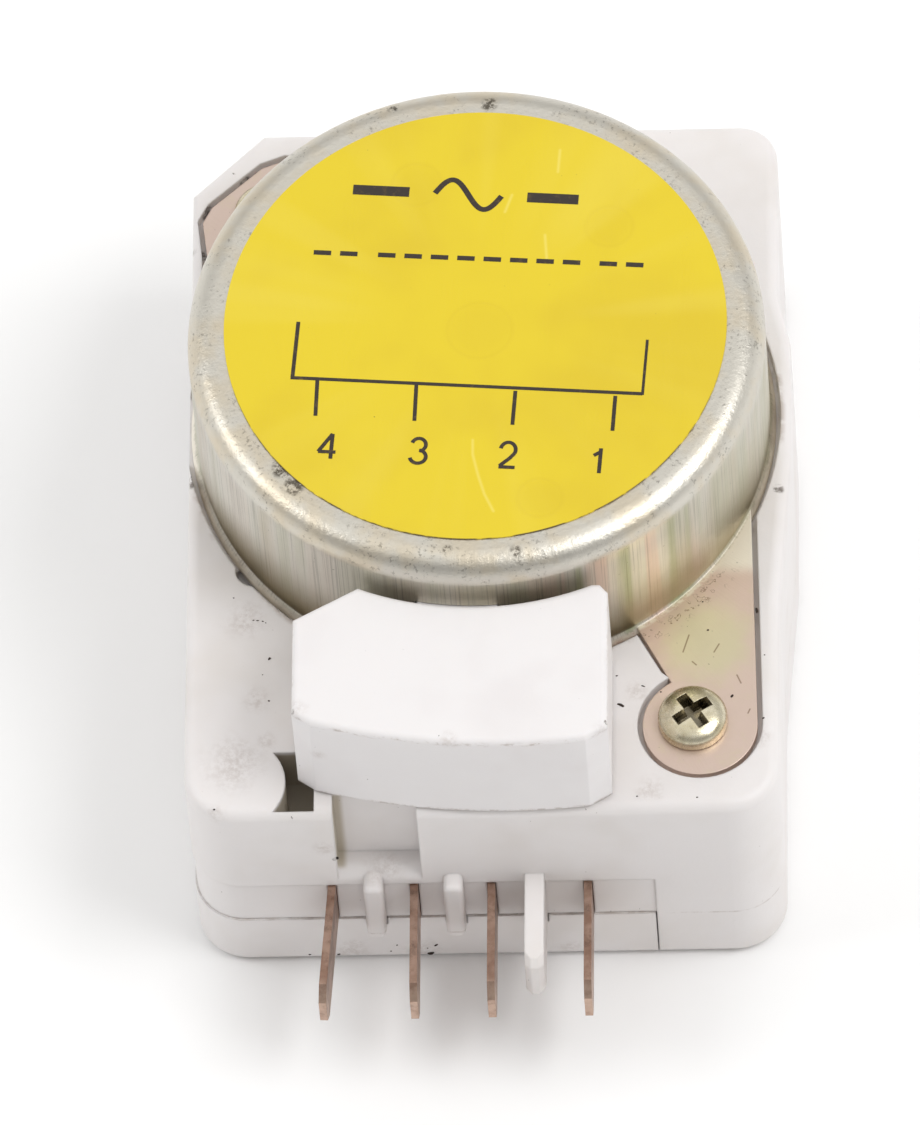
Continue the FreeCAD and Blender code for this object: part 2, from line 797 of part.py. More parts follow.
def make_base_cover():
    body = new_body("base_cover")
    floor = new_sketch(body, "floor")
    side = half_width
    end = half_depth
    edge = S.split_x - S.part_gap
    inset = S.case_wall
    fitted = case_outline(inset + S.part_gap, S.bulge_wall + S.part_gap)
    outline(floor, [
        (-side, -end, S.front_corner),
        (edge, -end),
        (edge, fitted[1][1]),
        *fitted[1:7],
        (edge, fitted[6][1]),
        (edge, end),
        (S.back_chamfer - side, end),
        (-side, end - S.back_chamfer),
    ])
    pad(body, "floor_plate", floor, S.floor_thick)

    rim = new_sketch(body, "rim")
    chamfer_in = inset * (math.sqrt(2) - 1)
    rim_top = S.cover_height - S.seat_gap
    outline(rim, [
        (-side, -end, S.front_corner),
        (edge, -end),
        (edge, -end + inset),
        (inset - side, -end + inset, S.front_corner - inset),
        (inset - side, end - S.back_chamfer - chamfer_in),
        (S.back_chamfer + chamfer_in - side, end - inset),
        (edge, end - inset),
        (edge, end),
        (S.back_chamfer - side, end),
        (-side, end - S.back_chamfer),
    ])
    pad(body, "rim_wall", rim, rim_top)
    round_edges(body, "bottom_edge", S.bottom_round, left_bottom_edge)

    for name, x in SMALL_FINS + [("key", S.key_x)]:
        cut_block(
            body, f"fin_notch_{name}",
            (x - S.fin_thick / 2 - S.part_gap, x + S.fin_thick / 2 + S.part_gap),
            (-far, front_face + 0.7 + S.part_gap),
            (S.fin_bottom - S.part_gap, S.cover_height + 1.0),
        )
    for name, x, _ in TABS:
        block(
            body, f"post_{name}",
            (x - 1.3, x + 1.3), (inner_front - 0.2, inner_front + S.shoulder_length + 0.4),
            (S.floor_thick - 0.5, S.tab_bottom + 2.4),
        )
    # The posts stop short of the case wall above the cover's edge.
    cut_block(
        body, "post_relief", (-side + 4.0, edge), (-far, inner_front + S.part_gap),
        (rim_top, S.case_height),
    )
    slot = S.tab_thick / 2 + S.slot_gap
    for name, x, _ in TABS:
        cut_block(
            body, f"post_slot_{name}",
            (x - slot, x + slot), (inner_front, inner_front + S.shoulder_length + 1.0),
            (S.tab_bottom - S.shoulder_rise - S.part_gap, S.case_height),
        )
    for name, sign in (("front", -1), ("back", 1)):
        y = S.mount_middle_y + S.mount_spacing * sign / 2
        boss(body, f"mount_boss_{name}", S.mount_x, y, S.mount_boss_radius, 0.5, S.mount_boss_top)
        hole(body, f"mount_hole_{name}", S.mount_x, y, S.mount_hole_radius, -0.001, S.mount_hole_depth)
    boss(body, "idler_column", idler_x, idler_y, S.column_radius, 0.5, S.idler_level - S.idler_pinion_length - 0.2)
    hole(
        body, "column_hole", idler_x, idler_y, S.idler_pin_radius + S.running_gap,
        S.idler_pin_bottom - 0.5, S.idler_level,
    )
    hole(body, "knob_hole", S.cam_x, S.cam_y, S.journal_radius + S.running_gap, -0.001, S.floor_thick)
    for name, sign, y in TONGUES:
        inner = (half_width - S.case_wall - S.part_gap) * sign
        back = inner - S.tongue_thick * sign
        block(
            body, f"tongue_{name}",
            tuple(sorted((inner, back), key=lambda v: v.number)),
            (y - S.tongue_width / 2, y + S.tongue_width / 2),
            (S.floor_thick - 0.5, S.tongue_top),
        )
        block(
            body, f"barb_{name}",
            tuple(sorted((back + 0.2 * sign, inner + S.barb_out * sign), key=lambda v: v.number)),
            (y - S.tongue_width / 2, y + S.tongue_width / 2),
            (S.barb_level, S.barb_level + S.barb_height),
        )
    return body


def left_bottom_edge(edge):
    """The outer edge of the cover's front, left and back sides at the underside."""
    box = edge.BoundBox
    on_side = abs(box.XMin + half_width.number) < 0.02
    on_end = max(abs(box.YMin), abs(box.YMax)) > half_depth.number - 0.02
    return on_level(edge, 0) and (on_side or on_end) and box.XLength + box.YLength > 2.5


def make_motor_can():
    body = new_body("motor_can")
    top = S.can_top
    wall = S.can_wall
    inner = S.can_radius - wall
    revolve(body, "cup", S.motor_x, S.motor_y, [
        (0, top - wall),
        (inner, top - wall, S.can_shoulder - wall),
        (inner, foot_level),
        (S.can_rim_radius, foot_level),
        (S.can_rim_radius, foot_level + S.can_rim_height * 0.6),
        (S.can_radius, foot_level + S.can_rim_height * 1.6),
        (S.can_radius, top, S.can_shoulder),
        (0, top),
    ])
    for name, ear in (("front", front_ear), ("back", back_ear)):
        plan = new_sketch(body, f"{name}_plan", at=(0, 0, foot_level))
        corners, arcs = ear(as_size(0))
        outline(plan, corners, arcs)
        pad(body, f"ear_{name}", plan, S.ear_thick)
    hole(body, "clear_inside", S.motor_x, S.motor_y, inner, foot_level - 0.5, foot_level + S.ear_thick + 0.5)
    for name, x, y in (("front", S.screw_1_x, S.screw_1_y), ("back", S.screw_2_x, S.screw_2_y)):
        hole(body, f"screw_hole_{name}", x, y, S.screw_radius + 0.15, foot_level - 0.5, foot_level + S.ear_thick + 0.5)
    window = new_sketch(body, "window", "XZ_Plane", at=(0, 0, -(S.motor_y - S.can_radius - 2.0)))
    rectangle(
        window, S.neck_left - S.neck_gap, S.neck_bottom - S.neck_gap,
        S.neck_right + S.neck_gap, S.neck_top + S.neck_gap,
    )
    feature(body, "Pocket", "lead_window", window, 5.0)
    return body


def make_label_disc():
    body = new_body("label_disc")
    boss(body, "disc", S.motor_x, S.motor_y, S.label_radius, S.can_top, S.can_top + S.label_thick)
    return body


def lead_cover_plan(inset):
    """The lead cover's plan: straight sides, a gently bowed front and a back that follows the can."""
    inset = as_size(inset)
    left = S.lead_cover_left + inset
    right = S.lead_cover_right - inset
    arc = S.lead_cover_back_radius + inset
    back_left = S.motor_x - 9.1
    back_right = S.motor_x + 8.9 - inset * 0.75
    drop_left = root(arc * arc - (S.motor_x - back_left) * (S.motor_x - back_left))
    drop_right = root(arc * arc - (back_right - S.motor_x) * (back_right - S.motor_x))
    corners = [
        (left, front_face + 3.0 + inset * 0.4),
        (left + 1.4, front_face + 2.05 + inset),
        (right - 1.7, front_face + 0.24 + inset),
        (right, front_face + 1.3 + inset * 0.6),
        (right, front_face + 13.4 - inset),
        (right - 0.6 + inset * 0.25, front_face + 14.1 - inset * 1.2),
        (back_right, S.motor_y - drop_right),
        (back_left, S.motor_y - drop_left),
        (left, front_face + 11.4 - inset),
    ]
    bow_radius = as_size(55.0) - inset
    x0, y0 = corners[1][0].number, corners[1][1].number
    x1, y1 = corners[2][0].number, corners[2][1].number
    length = math.hypot(x1 - x0, y1 - y0)
    height = math.sqrt(bow_radius.number ** 2 - length ** 2 / 4)
    bow_x = (x0 + x1) / 2 - (y1 - y0) / length * height
    bow_y = (y0 + y1) / 2 + (x1 - x0) / length * height
    arcs = {
        1: (bow_x, bow_y, bow_radius, True),
        6: (S.motor_x.number, S.motor_y.number, arc, True),
    }
    return corners, arcs


def make_lead_cover():
    body = new_body("lead_cover")
    plan = new_sketch(body, "plan", at=(0, 0, S.lead_cover_bottom))
    corners, arcs = lead_cover_plan(0)
    arcs[6] = arcs[6][:3] + (False,)
    outline(plan, corners, arcs)
    pad(body, "shell", plan, S.lead_cover_top - S.lead_cover_bottom)
    round_edges(body, "top_edge", 0.5, lambda e: on_level(e, S.lead_cover_top.number))
    inside = new_sketch(body, "inside", at=(0, 0, S.lead_cover_top - S.lead_cover_wall))
    corners, arcs = lead_cover_plan(S.lead_cover_wall)
    arcs[6] = arcs[6][:3] + (False,)
    outline(inside, corners, arcs)
    pocket(body, "hollow", inside, S.lead_cover_top)

    # The neck that carries the cover in the can's window, with the leads' way through it.
    back = S.motor_y - S.neck_end_radius
    front = S.motor_y - S.lead_cover_back_radius - S.lead_cover_wall
    neck = new_sketch(body, "neck", "XZ_Plane", at=(0, 0, -(front + 0.9)))
    rectangle(neck, S.neck_left, S.neck_bottom, S.neck_right, S.neck_top)
    feature(body, "Pad", "neck_block", neck, back - front - 0.9, reverse=True)
    way = new_sketch(body, "way", "XZ_Plane", at=(0, 0, -(front - 1.0)))
    rectangle(
        way, S.neck_left + S.neck_wall, S.neck_bottom + S.neck_wall,
        S.neck_right - S.neck_wall, S.neck_top - S.neck_wall,
    )
    feature(body, "Pocket", "lead_way", way, back - front + 3.0)
    return body


def make_terminal(name, x, splay):
    """A flat tab: its blade outside, a shoulder just inside the wall and the tail that holds its leaf."""
    body = new_body(f"terminal_{name}")
    bottom = S.tab_bottom
    wall_in = inner_front + S.part_gap
    inner = new_sketch(body, "tail", "YZ_Plane", at=(0, 0, x - S.tab_thick / 2))
    outline(inner, [
        (front_face, bottom),
        (wall_in, bottom),
        (wall_in, bottom - S.shoulder_rise),
        (wall_in + S.shoulder_length, bottom - S.shoulder_rise),
        (wall_in + S.shoulder_length, bottom),
        (inner_front + S.tab_inner_length, bottom),
        (inner_front + S.tab_inner_length, tab_top),
        (wall_in + S.shoulder_length, tab_top),
        (wall_in + S.shoulder_length, tab_top + S.shoulder_rise),
        (wall_in, tab_top + S.shoulder_rise),
        (wall_in, tab_top),
        (front_face, tab_top),
    ])
    pad(body, "inner", inner, S.tab_thick)
    start = as_size(0.3 if splay.number else 0.0)
    outer = new_sketch(
        body, "blade", "YZ_Plane", at=(front_face, 0, x - S.tab_thick / 2), turn_about=Vector(0, 1, 0),
        turn=-splay.number,
    )
    if "Sizes" in splay.text:
        outer.setExpression("AttachmentOffset.Rotation.Angle", f"-1 deg * {splay.text}")
    reach = -S.tab_reach
    outline(outer, [
        (start, bottom),
        (start, tab_top),
        (reach + S.tab_tip, tab_top),
        (reach, tab_top - S.tab_tip),
        (reach, bottom + S.tab_tip),
        (reach + S.tab_tip, bottom),
    ])
    pad(body, "outer", outer, S.tab_thick)
    return body


def make_motor_plate():
    body = new_body("motor_base_plate")
    boss(body, "plate", S.motor_x, S.motor_y, S.plate_radius, foot_level, plate_top)
    boss(body, "bearing", output_x, output_y, S.output_shaft_radius + 1.0, foot_level, plate_top + 0.3)
    hole(
        body, "output_bearing", output_x, output_y, S.output_shaft_radius + S.running_gap,
        foot_level - 0.5, plate_top + 0.5,
    )
    for name, x, y, radius in (
        ("rotor", S.motor_x, S.motor_y, S.rotor_pin_radius),
        ("first", first_x, first_y, S.pin_radius),
        ("second", second_x, second_y, S.pin_radius),
    ):
        hole(body, f"{name}_pin_seat", x, y, radius, foot_level - 0.5, plate_top + 0.5)
    return body


def make_pole_plate(label, level, lower):
    """A steel disc with a ring of fingers bent out of it round the rotor."""
    body = new_body(label)
    plan = new_sketch(body, "plan", at=(S.motor_x, S.motor_y, level))
    circle(plan, 0, 0, S.pole_plate_radius)
    circle(plan, 0, 0, S.pole_ring_radius)
    pad(body, "disc", plan, S.pole_plate_thick)
    reach = pole_top_level - S.pole_plate_level - S.pole_plate_thick - 1.2
    start = level + S.pole_plate_thick - 0.1 if lower else level + 0.1 - reach
    finger = new_sketch(body, "finger", at=(S.motor_x, S.motor_y, start))
    radius = S.pole_ring_radius
    half = S.pole_finger_width / 2
    if lower:
        outline(finger, [
            (radius, -half), (radius + S.pole_finger_thick, -half),
            (radius + S.pole_finger_thick, half), (radius, half),
        ])
    else:
        turn = as_size(180.0) / S.pole_count
        corners = []
        for r, t in (
            (radius, -half), (radius + S.pole_finger_thick, -half),
            (radius + S.pole_finger_thick, half), (radius, half),
        ):
            t = as_size(t)
            corners.append((r * cosine(turn) - t * sine(turn), r * sine(turn) + t * cosine(turn)))
        outline(finger, corners)
    first = pad(body, "finger_pad", finger, reach)
    turned_pattern(body, "fingers", [first], finger, S.pole_count)
    return body


def make_bobbin():
    body = new_body("coil_bobbin")
    bottom = S.pole_plate_level + S.pole_plate_thick + 0.1
    top = pole_top_level - 0.1
    bore = S.bobbin_bore_radius
    revolve(body, "spool", S.motor_x, S.motor_y, [
        (bore, bottom),
        (S.bobbin_radius, bottom),
        (S.bobbin_radius, bottom + S.bobbin_wall),
        (bore + S.bobbin_wall, bottom + S.bobbin_wall),
        (bore + S.bobbin_wall, top - S.bobbin_wall),
        (S.bobbin_radius, top - S.bobbin_wall),
        (S.bobbin_radius, top),
        (bore, top),
    ])
    winding = new_body("coil_winding")
    inner = bore + S.bobbin_wall + S.seat_gap / 2
    revolve(winding, "wire", S.motor_x, S.motor_y, [
        (inner, bottom + S.bobbin_wall),
        (S.winding_radius, bottom + S.bobbin_wall),
        (S.winding_radius, top - S.bobbin_wall),
        (inner, top - S.bobbin_wall),
    ])
    return [body, winding]


def make_rotor():
    magnet = new_body("rotor_magnet")
    revolve(magnet, "ring", S.motor_x, S.motor_y, [
        (S.rotor_hub_radius, S.rotor_bottom),
        (S.rotor_radius, S.rotor_bottom),
        (S.rotor_radius, S.rotor_top),
        (S.rotor_hub_radius, S.rotor_top),
    ])
    hub = solid_node("rotor_hub", rotor_hub_shape())
    pin = new_body("rotor_pin")
    boss(pin, "pin", S.motor_x, S.motor_y, S.rotor_pin_radius, foot_level, S.rotor_top + 0.6)
    return [magnet, hub, pin]


def solid_node(label, shape):
    """A node whose shape is worked out here from the sheet's sizes."""
    item = doc.addObject("Part::Feature", label)
    item.Label = label
    item.Shape = shape
    item.Placement = Placement()
    return item


def at_level(x, y, z):
    return Vector(as_size(x).number, as_size(y).number, as_size(z).number)


def gear(teeth, x, y, bottom, thick, first_tooth):
    """A spur gear: each tooth is a straight-sided wedge, thin enough at the pitch circle to leave backlash."""
    module = S.gear_module.number
    count = int(round(teeth.number))
    pitch = count * module / 2
    tip = pitch + 0.72 * module
    foot = pitch - 0.95 * module
    half_at_pitch = 0.40 * math.pi * module / 2
    slope = math.tan(math.radians(22.0))
    points = []
    for k in range(count):
        middle = math.radians(first_tooth) + 2 * math.pi * k / count
        for radius, sign in ((foot, -1), (tip, -1), (tip, 1), (foot, 1)):
            half = half_at_pitch - (radius - pitch) * slope
            angle = middle + sign * half / radius
            points.append(Vector(radius * math.cos(angle), radius * math.sin(angle), 0))
    wire = Part.makePolygon(points + [points[0]])
    solid = Part.Face(wire).extrude(Vector(0, 0, as_size(thick).number))
    solid.translate(at_level(x, y, bottom))
    return solid


def rod(x, y, radius, bottom, top):
    bottom = as_size(bottom)
    return Part.makeCylinder(
        as_size(radius).number, as_size(top).number - bottom.number, at_level(x, y, bottom)
    )


def direction(from_x, from_y, to_x, to_y):
    return math.degrees(math.atan2(to_y.number - from_y.number, to_x.number - from_x.number))


def gap_towards(teeth, from_x, from_y, to_x, to_y):
    """The first tooth's angle that turns a gap between two teeth towards the other gear."""
    return direction(from_x, from_y, to_x, to_y) + 180.0 / teeth.number


def rotor_hub_shape():
    towards_first = direction(S.motor_x, S.motor_y, first_x, first_y)
    hub = rod(S.motor_x, S.motor_y, S.rotor_hub_radius, S.rotor_bottom, S.rotor_top)
    neck = rod(S.motor_x, S.motor_y, pinion_radius - 0.4, level_1, S.rotor_bottom)
    pinion = gear(
        S.pinion_teeth, S.motor_x, S.motor_y, level_1 - 0.1, S.gear_thick + 0.3, towards_first
    )
    bore = rod(S.motor_x, S.motor_y, S.rotor_pin_radius + S.running_gap, level_2, S.rotor_top + 1.0)
    return hub.fuse([neck, pinion]).cut(bore).removeSplitter()


def compound_shape(x, y, wheel_level, pinion_level, wheel_turn, pinion_turn):
    wheel = gear(S.wheel_teeth, x, y, wheel_level, S.gear_thick, wheel_turn)
    pinion = gear(S.pinion_teeth, x, y, pinion_level - 0.1, wheel_level - pinion_level + 0.1, pinion_turn)
    bore = rod(x, y, S.pin_radius + S.running_gap, pinion_level - 1.0, wheel_level + S.gear_thick + 1.0)
    return wheel.fuse(pinion).cut(bore).removeSplitter()


def output_shape():
    wheel = gear(
        S.output_teeth, output_x, output_y, level_3, S.gear_thick,
        gap_towards(S.output_teeth, output_x, output_y, second_x, second_y),
    )
    shaft = rod(output_x, output_y, S.output_shaft_radius, S.output_pinion_bottom, level_3)
    pinion = gear(
        S.pinion_teeth, output_x, output_y, S.output_pinion_bottom, 2.2,
        direction(output_x, output_y, idler_x, idler_y),
    )
    return wheel.fuse([shaft, pinion]).removeSplitter()


def idler_shape():
    wheel = gear(
        S.idler_teeth, idler_x, idler_y, S.idler_level, S.idler_thick,
        gap_towards(S.idler_teeth, idler_x, idler_y, output_x, output_y),
    )
    pinion = gear(
        S.idler_pinion_teeth, idler_x, idler_y, S.idler_level - S.idler_pinion_length,
        S.idler_pinion_length, direction(idler_x, idler_y, S.cam_x, S.cam_y),
    )
    bore = rod(
        idler_x, idler_y, S.idler_pin_radius + S.running_gap,
        S.idler_level - S.idler_pinion_length - 1.0, S.idler_level + S.idler_thick + 1.0,
    )
    return wheel.fuse(pinion).cut(bore).removeSplitter()


def cam_gear_shape():
    wheel = gear(
        S.cam_gear_teeth, S.cam_x, S.cam_y, S.cam_gear_level, S.cam_gear_thick,
        gap_towards(S.cam_gear_teeth, S.cam_x, S.cam_y, idler_x, idler_y),
    )
    bore = rod(
        S.cam_x, S.cam_y, S.cam_hub_radius + S.running_gap,
        S.cam_gear_level - 1.0, S.cam_gear_level + S.cam_gear_thick + 1.0,
    )
    return wheel.cut(bore)


def make_gear_train():
    first = compound_shape(
        first_x, first_y, level_1, level_2,
        gap_towards(S.wheel_teeth, first_x, first_y, S.motor_x, S.motor_y),
        direction(first_x, first_y, second_x, second_y),
    )
    second = compound_shape(
        second_x, second_y, level_2, level_3,
        gap_towards(S.wheel_teeth, second_x, second_y, first_x, first_y),
        direction(second_x, second_y, output_x, output_y),
    )
    pins = Part.makeCompound([
        rod(x, y, S.pin_radius, foot_level, S.pole_plate_level - 0.1)
        for x, y in ((first_x, first_y), (second_x, second_y))
    ])
    return [
        solid_node("first_gear", first),
        solid_node("second_gear", second),
        solid_node("gear_pins", pins),
        solid_node("output_gear", output_shape()),
        solid_node("idler_gear", idler_shape()),
        solid_node("cam_gear", cam_gear_shape()),
    ]


def make_cam_drum():
    """The cam: a turned drum with two tracks, each with two notches half a turn apart, a journal in the floor
    with a screwdriver slot, and a hub that carries the cam gear."""
    body = new_body("cam_drum")
    flange_bottom = S.floor_thick + 0.1
    core = S.cam_core_radius
    high = S.cam_radius
    revolve(body, "drum", S.cam_x, S.cam_y, [
        (0, S.journal_recess),
        (S.journal_radius, S.journal_recess),
        (S.journal_radius, flange_bottom),
        (S.flange_radius, flange_bottom),
        (S.flange_radius, flange_bottom + S.flange_thick),
        (core, flange_bottom + S.flange_thick),
        (core, S.track_3_bottom),
        (high, S.track_3_bottom),
        (high, S.track_3_bottom + S.track_height),
        (core, S.track_3_bottom + S.track_height),
        (core, S.track_2_bottom),
        (high, S.track_2_bottom),
        (high, S.track_2_bottom + S.track_height),
        (core, S.track_2_bottom + S.track_height),
        (core, S.cam_gear_level - S.seat_gap),
        (S.cam_hub_radius, S.cam_gear_level - S.seat_gap),
        (S.cam_hub_radius, S.cam_hub_top),
        (0, S.cam_hub_top),
    ])
    hole(
        body, "pin_bore", S.cam_x, S.cam_y, S.cam_pin_radius + S.running_gap,
        S.cam_pin_bottom - 0.3, S.cam_hub_top,
    )
    for name, bottom, finger_y in (
        ("3", S.track_3_bottom, S.finger_3_y), ("2", S.track_2_bottom, S.finger_2_y),
    ):
        top = bottom + S.track_height + 0.1
        low = S.cam_radius - S.cam_drop
        out = S.cam_radius + 1.0
        facing = direction(S.cam_x, S.cam_y, S.cam_x - S.cam_radius, finger_y)
        start = as_size(facing) - 3.0 - S.cam_notch_angle / 2
        end = as_size(facing) - 3.0 + S.cam_notch_angle / 2
        notch = new_sketch(body, f"notch_{name}", at=(S.cam_x, S.cam_y, top))
        outline(notch, [
            (low * cosine(start), low * sine(start)),
            (out * cosine(start), out * sine(start)),
            (out * cosine(end + S.cam_notch_ramp), out * sine(end + S.cam_notch_ramp)),
            (low * cosine(end), low * sine(end)),
        ])
        first = pocket(body, f"drop_{name}", notch, S.track_height + 0.2)
        turned_pattern(body, f"drops_{name}", [first], notch, as_size(2))
    slot = new_sketch(body, "drive_slot", at=(0, 0, S.journal_recess + S.drive_slot_depth))
    rectangle(
        slot,
        S.cam_x - S.drive_slot_length / 2, S.cam_y - S.drive_slot_width / 2,
        S.cam_x + S.drive_slot_length / 2, S.cam_y + S.drive_slot_width / 2,
    )
    pocket(body, "screwdriver_slot", slot, S.drive_slot_depth + 0.5)

    washer = new_body("clutch_washer")
    ring = new_sketch(washer, "plan", at=(S.cam_x, S.cam_y, S.cam_gear_level + S.cam_gear_thick + S.seat_gap))
    circle(ring, 0, 0, S.clutch_radius)
    circle(ring, 0, 0, S.cam_hub_radius)
    pad(washer, "ring", ring, S.clutch_thick)
    return [body, washer]


def blade_place(name):
    """Where a leaf's root and its contact stretch stand across the housing, and which side it lies on."""
    lap = S.tab_thick / 2 + S.slot_gap
    middle = S.tab_3_x + lap
    if name == "3":
        return middle, middle, 1
    if name == "4":
        face = middle - S.contact_height - S.contact_touch - S.contact_height - S.blade_thick
        return S.tab_4_x - lap - S.blade_thick, face, -1
    face = middle + S.blade_thick + S.contact_height + S.contact_break + S.contact_height
    return S.tab_2_x + lap, face, 1


def make_blade(name, end_y, finger_y):
    """A leaf: it lies against its tab, steps across to its contact plane, and may end in a finger to the cam."""
    body = new_body(f"contact_blade_{name}")
    root_x, face_x, _ = blade_place(name)
    thick = S.blade_thick
    plan = new_sketch(body, "plan", at=(0, 0, S.blade_bottom))
    joggle = S.blade_joggle_y
    step = 4.0
    if name == "3":
        corners = [
            (root_x, S.blade_root_y), (root_x + thick, S.blade_root_y),
            (root_x + thick, end_y), (root_x, end_y),
        ]
    else:
        corners = [
            (root_x, S.blade_root_y),
            (root_x + thick, S.blade_root_y),
            (root_x + thick, joggle),
            (face_x + thick, joggle + step),
            (face_x + thick, end_y),
            (face_x, end_y),
            (face_x, joggle + step),
            (root_x, joggle),
        ]
    outline(plan, corners)
    pad(body, "leaf", plan, S.blade_height)
    if name == "2":
        # The arm narrows to its upper half, so that the finger of leaf 3 passes below it.
        cut_block(
            body, "narrowing", (face_x - 1.0, face_x + thick + 1.0), (S.finger_3_y - 3.0, end_y + 1.0),
            (S.blade_bottom - 0.5, S.track_2_bottom),
        )
    if finger_y is not None:
        bottom = S.track_3_bottom + 0.2 if name == "3" else S.track_2_bottom + 0.2
        off = finger_y - S.cam_y
        tip = S.cam_x - root(S.cam_radius * S.cam_radius - off * off) - S.finger_gap - 0.05
        height = S.track_height - 0.4
        block(
            body, "finger", (face_x, tip),
            (finger_y - S.finger_thick / 2, finger_y + S.finger_thick / 2), (bottom, bottom + height),
        )
    return body


def make_contact(name):
    """The silver rivet of a leaf, a head on each side that meets another leaf."""
    _, face_x, _ = blade_place(name)
    thick = S.blade_thick.number
    middle_z = S.blade_bottom.number + S.blade_height.number / 2
    height = S.contact_height.number
    start = face_x.number
    low = -height if name in ("3", "2") else -0.3
    high = height if name in ("3", "4") else 0.3
    heads = [
        Part.makeCylinder(
            S.contact_radius.number, -low, Vector(start + low, S.contact_y.number, middle_z), Vector(1, 0, 0)
        ),
        Part.makeCylinder(
            S.contact_radius.number, high, Vector(start + thick, S.contact_y.number, middle_z), Vector(1, 0, 0)
        ),
    ]
    return solid_node(f"blade_contact_{name}", Part.makeCompound(heads))


def make_screws():
    """The two pan-head screws that hold the ears down."""
    solids = []
    under = foot_level + S.ear_thick
    for x, y, turn in ((S.screw_1_x, S.screw_1_y, 12.0), (S.screw_2_x, S.screw_2_y, 40.0)):
        head = rod(x, y, S.screw_head_radius, under, under + S.screw_head_height)
        rim = [e for e in head.Edges if on_level(e, (under + S.screw_head_height).number)]
        head = head.makeFillet(0.75, rim)
        shank = rod(x, y, S.screw_radius, seat_level - S.screw_length + 0.5, under)
        length = S.cross_length.number
        width = S.cross_width.number
        depth = S.cross_depth.number
        bars = []
        for size_x, size_y in ((length, width), (width, length)):
            bar = Part.makeBox(
                size_x, size_y, depth + 0.5,
                Vector(-size_x / 2, -size_y / 2, (under + S.screw_head_height).number - depth),
            )
            bar.rotate(Vector(0, 0, 0), Vector(0, 0, 1), turn)
            bar.translate(Vector(x.number, y.number, 0))
            bars.append(bar)
        solids.append(head.fuse(shank).cut(bars[0]).cut(bars[1]))
    return solid_node("motor_screws", Part.makeCompound(solids))


def lead_path(points, bend):
    """Straight runs joined by tangent arcs of one radius, as a wire."""
    edges = []
    start = points[0]
    for before, corner, after in zip(points, points[1:], points[2:]):
        way_in = (corner - before).normalize()
        way_out = (after - corner).normalize()
        turn = way_in.getAngle(way_out)
        cut = bend * math.tan(turn / 2)
        first = corner - way_in * cut
        last = corner + way_out * cut
        inward = (way_out - way_in).normalize()
        middle = corner + inward * (bend / math.cos(turn / 2) - bend)
        edges.append(Part.LineSegment(start, first).toShape())
        edges.append(Part.Arc(first, middle, last).toShape())
        start = last
    edges.append(Part.LineSegment(start, points[-1]).toShape())
    return Part.Wire(edges)


def make_lead(name, points):
    path = lead_path(points, 1.4)
    along_path = points[1] - points[0]
    section = Part.Wire(Part.makeCircle(S.lead_radius.number, points[0], along_path))
    shape = path.makePipeShell([section], True, False)
    return solid_node(f"lead_wire_{name}", shape)


def make_leads():
    start_y = (S.motor_y - S.winding_radius).number
    level = S.lead_level.number
    end_y = S.lead_end_y.number
    end_z = tab_top.number
    mid_3 = (S.neck_left + S.neck_wall + 1.1).number
    mid_1 = (S.neck_right - S.neck_wall - 1.1).number
    down_3 = S.lead_3_x.number
    down_1 = S.lead_1_x.number
    run_3 = end_z + 4.0
    run_1 = end_z + 5.7
    tab_3 = S.tab_3_x.number
    tab_1 = S.tab_1_x.number
    lead_3 = [
        Vector(mid_3, start_y, level),
        Vector(mid_3, start_y - 7.2, level),
        Vector(down_3, end_y, level),
        Vector(down_3, end_y, run_3),
        Vector(tab_3, end_y, run_3),
        Vector(tab_3, end_y, end_z),
    ]
    lead_1 = [
        Vector(mid_1, start_y, level),
        Vector(mid_1, start_y - 7.0, level),
        Vector(mid_1, start_y - 10.0, level - 3.4),
        Vector(down_1, end_y, level - 4.0),
        Vector(down_1, end_y, run_1),
        Vector(tab_1, end_y, run_1),
        Vector(tab_1, end_y, end_z),
    ]
    return [make_lead("3", lead_3), make_lead("1", lead_1)]


def check_and_export(nodes):
    """Every object must have computed, every recess must have cut, and every shape must be sound."""
    for item in doc.Objects:
        if "Invalid" in item.State or "Error" in item.State:
            raise RuntimeError(f"{item.Name} failed: {item.State}")
    for item in doc.Objects:
        if item.TypeId == "PartDesign::Pocket":
            base = item.BaseFeature
            if base.Shape.Volume - item.Shape.Volume < 1e-4:
                raise RuntimeError(f"{item.Name} cuts nothing")
    os.makedirs("parts", exist_ok=True)
    for node in nodes:
        shape = node.Shape
        if shape.isNull() or not shape.isValid() or not shape.Solids:
            raise RuntimeError(f"{node.Label} has no sound shape")
        shape.exportStep(f"parts/{node.Label}.step")
        print(node.Label, len(shape.Solids), round(shape.Volume, 2))


def build():
    nodes = [make_upper_case(), make_base_cover(), make_motor_can(), make_label_disc(), make_lead_cover()]
    nodes += [make_terminal(*tab) for tab in TABS]
    nodes += [make_motor_plate()]
    nodes.append(make_pole_plate("lower_pole_plate", S.pole_plate_level, True))
    nodes.append(make_pole_plate("upper_pole_plate", pole_top_level, False))
    nodes += make_bobbin()
    nodes += make_rotor()
    nodes += make_gear_train()
    nodes += make_cam_drum()
    nodes.append(make_blade("4", S.contact_y + 4.0, None))
    nodes.append(make_blade("3", S.finger_3_y + S.finger_thick / 2, S.finger_3_y))
    nodes.append(make_blade("2", S.finger_2_y + S.finger_thick / 2, S.finger_2_y))
    nodes += [make_contact(name) for name in ("4", "3", "2")]
    nodes.append(make_screws())
    nodes += make_leads()
    doc.recompute()
    check_and_export(nodes)


build()
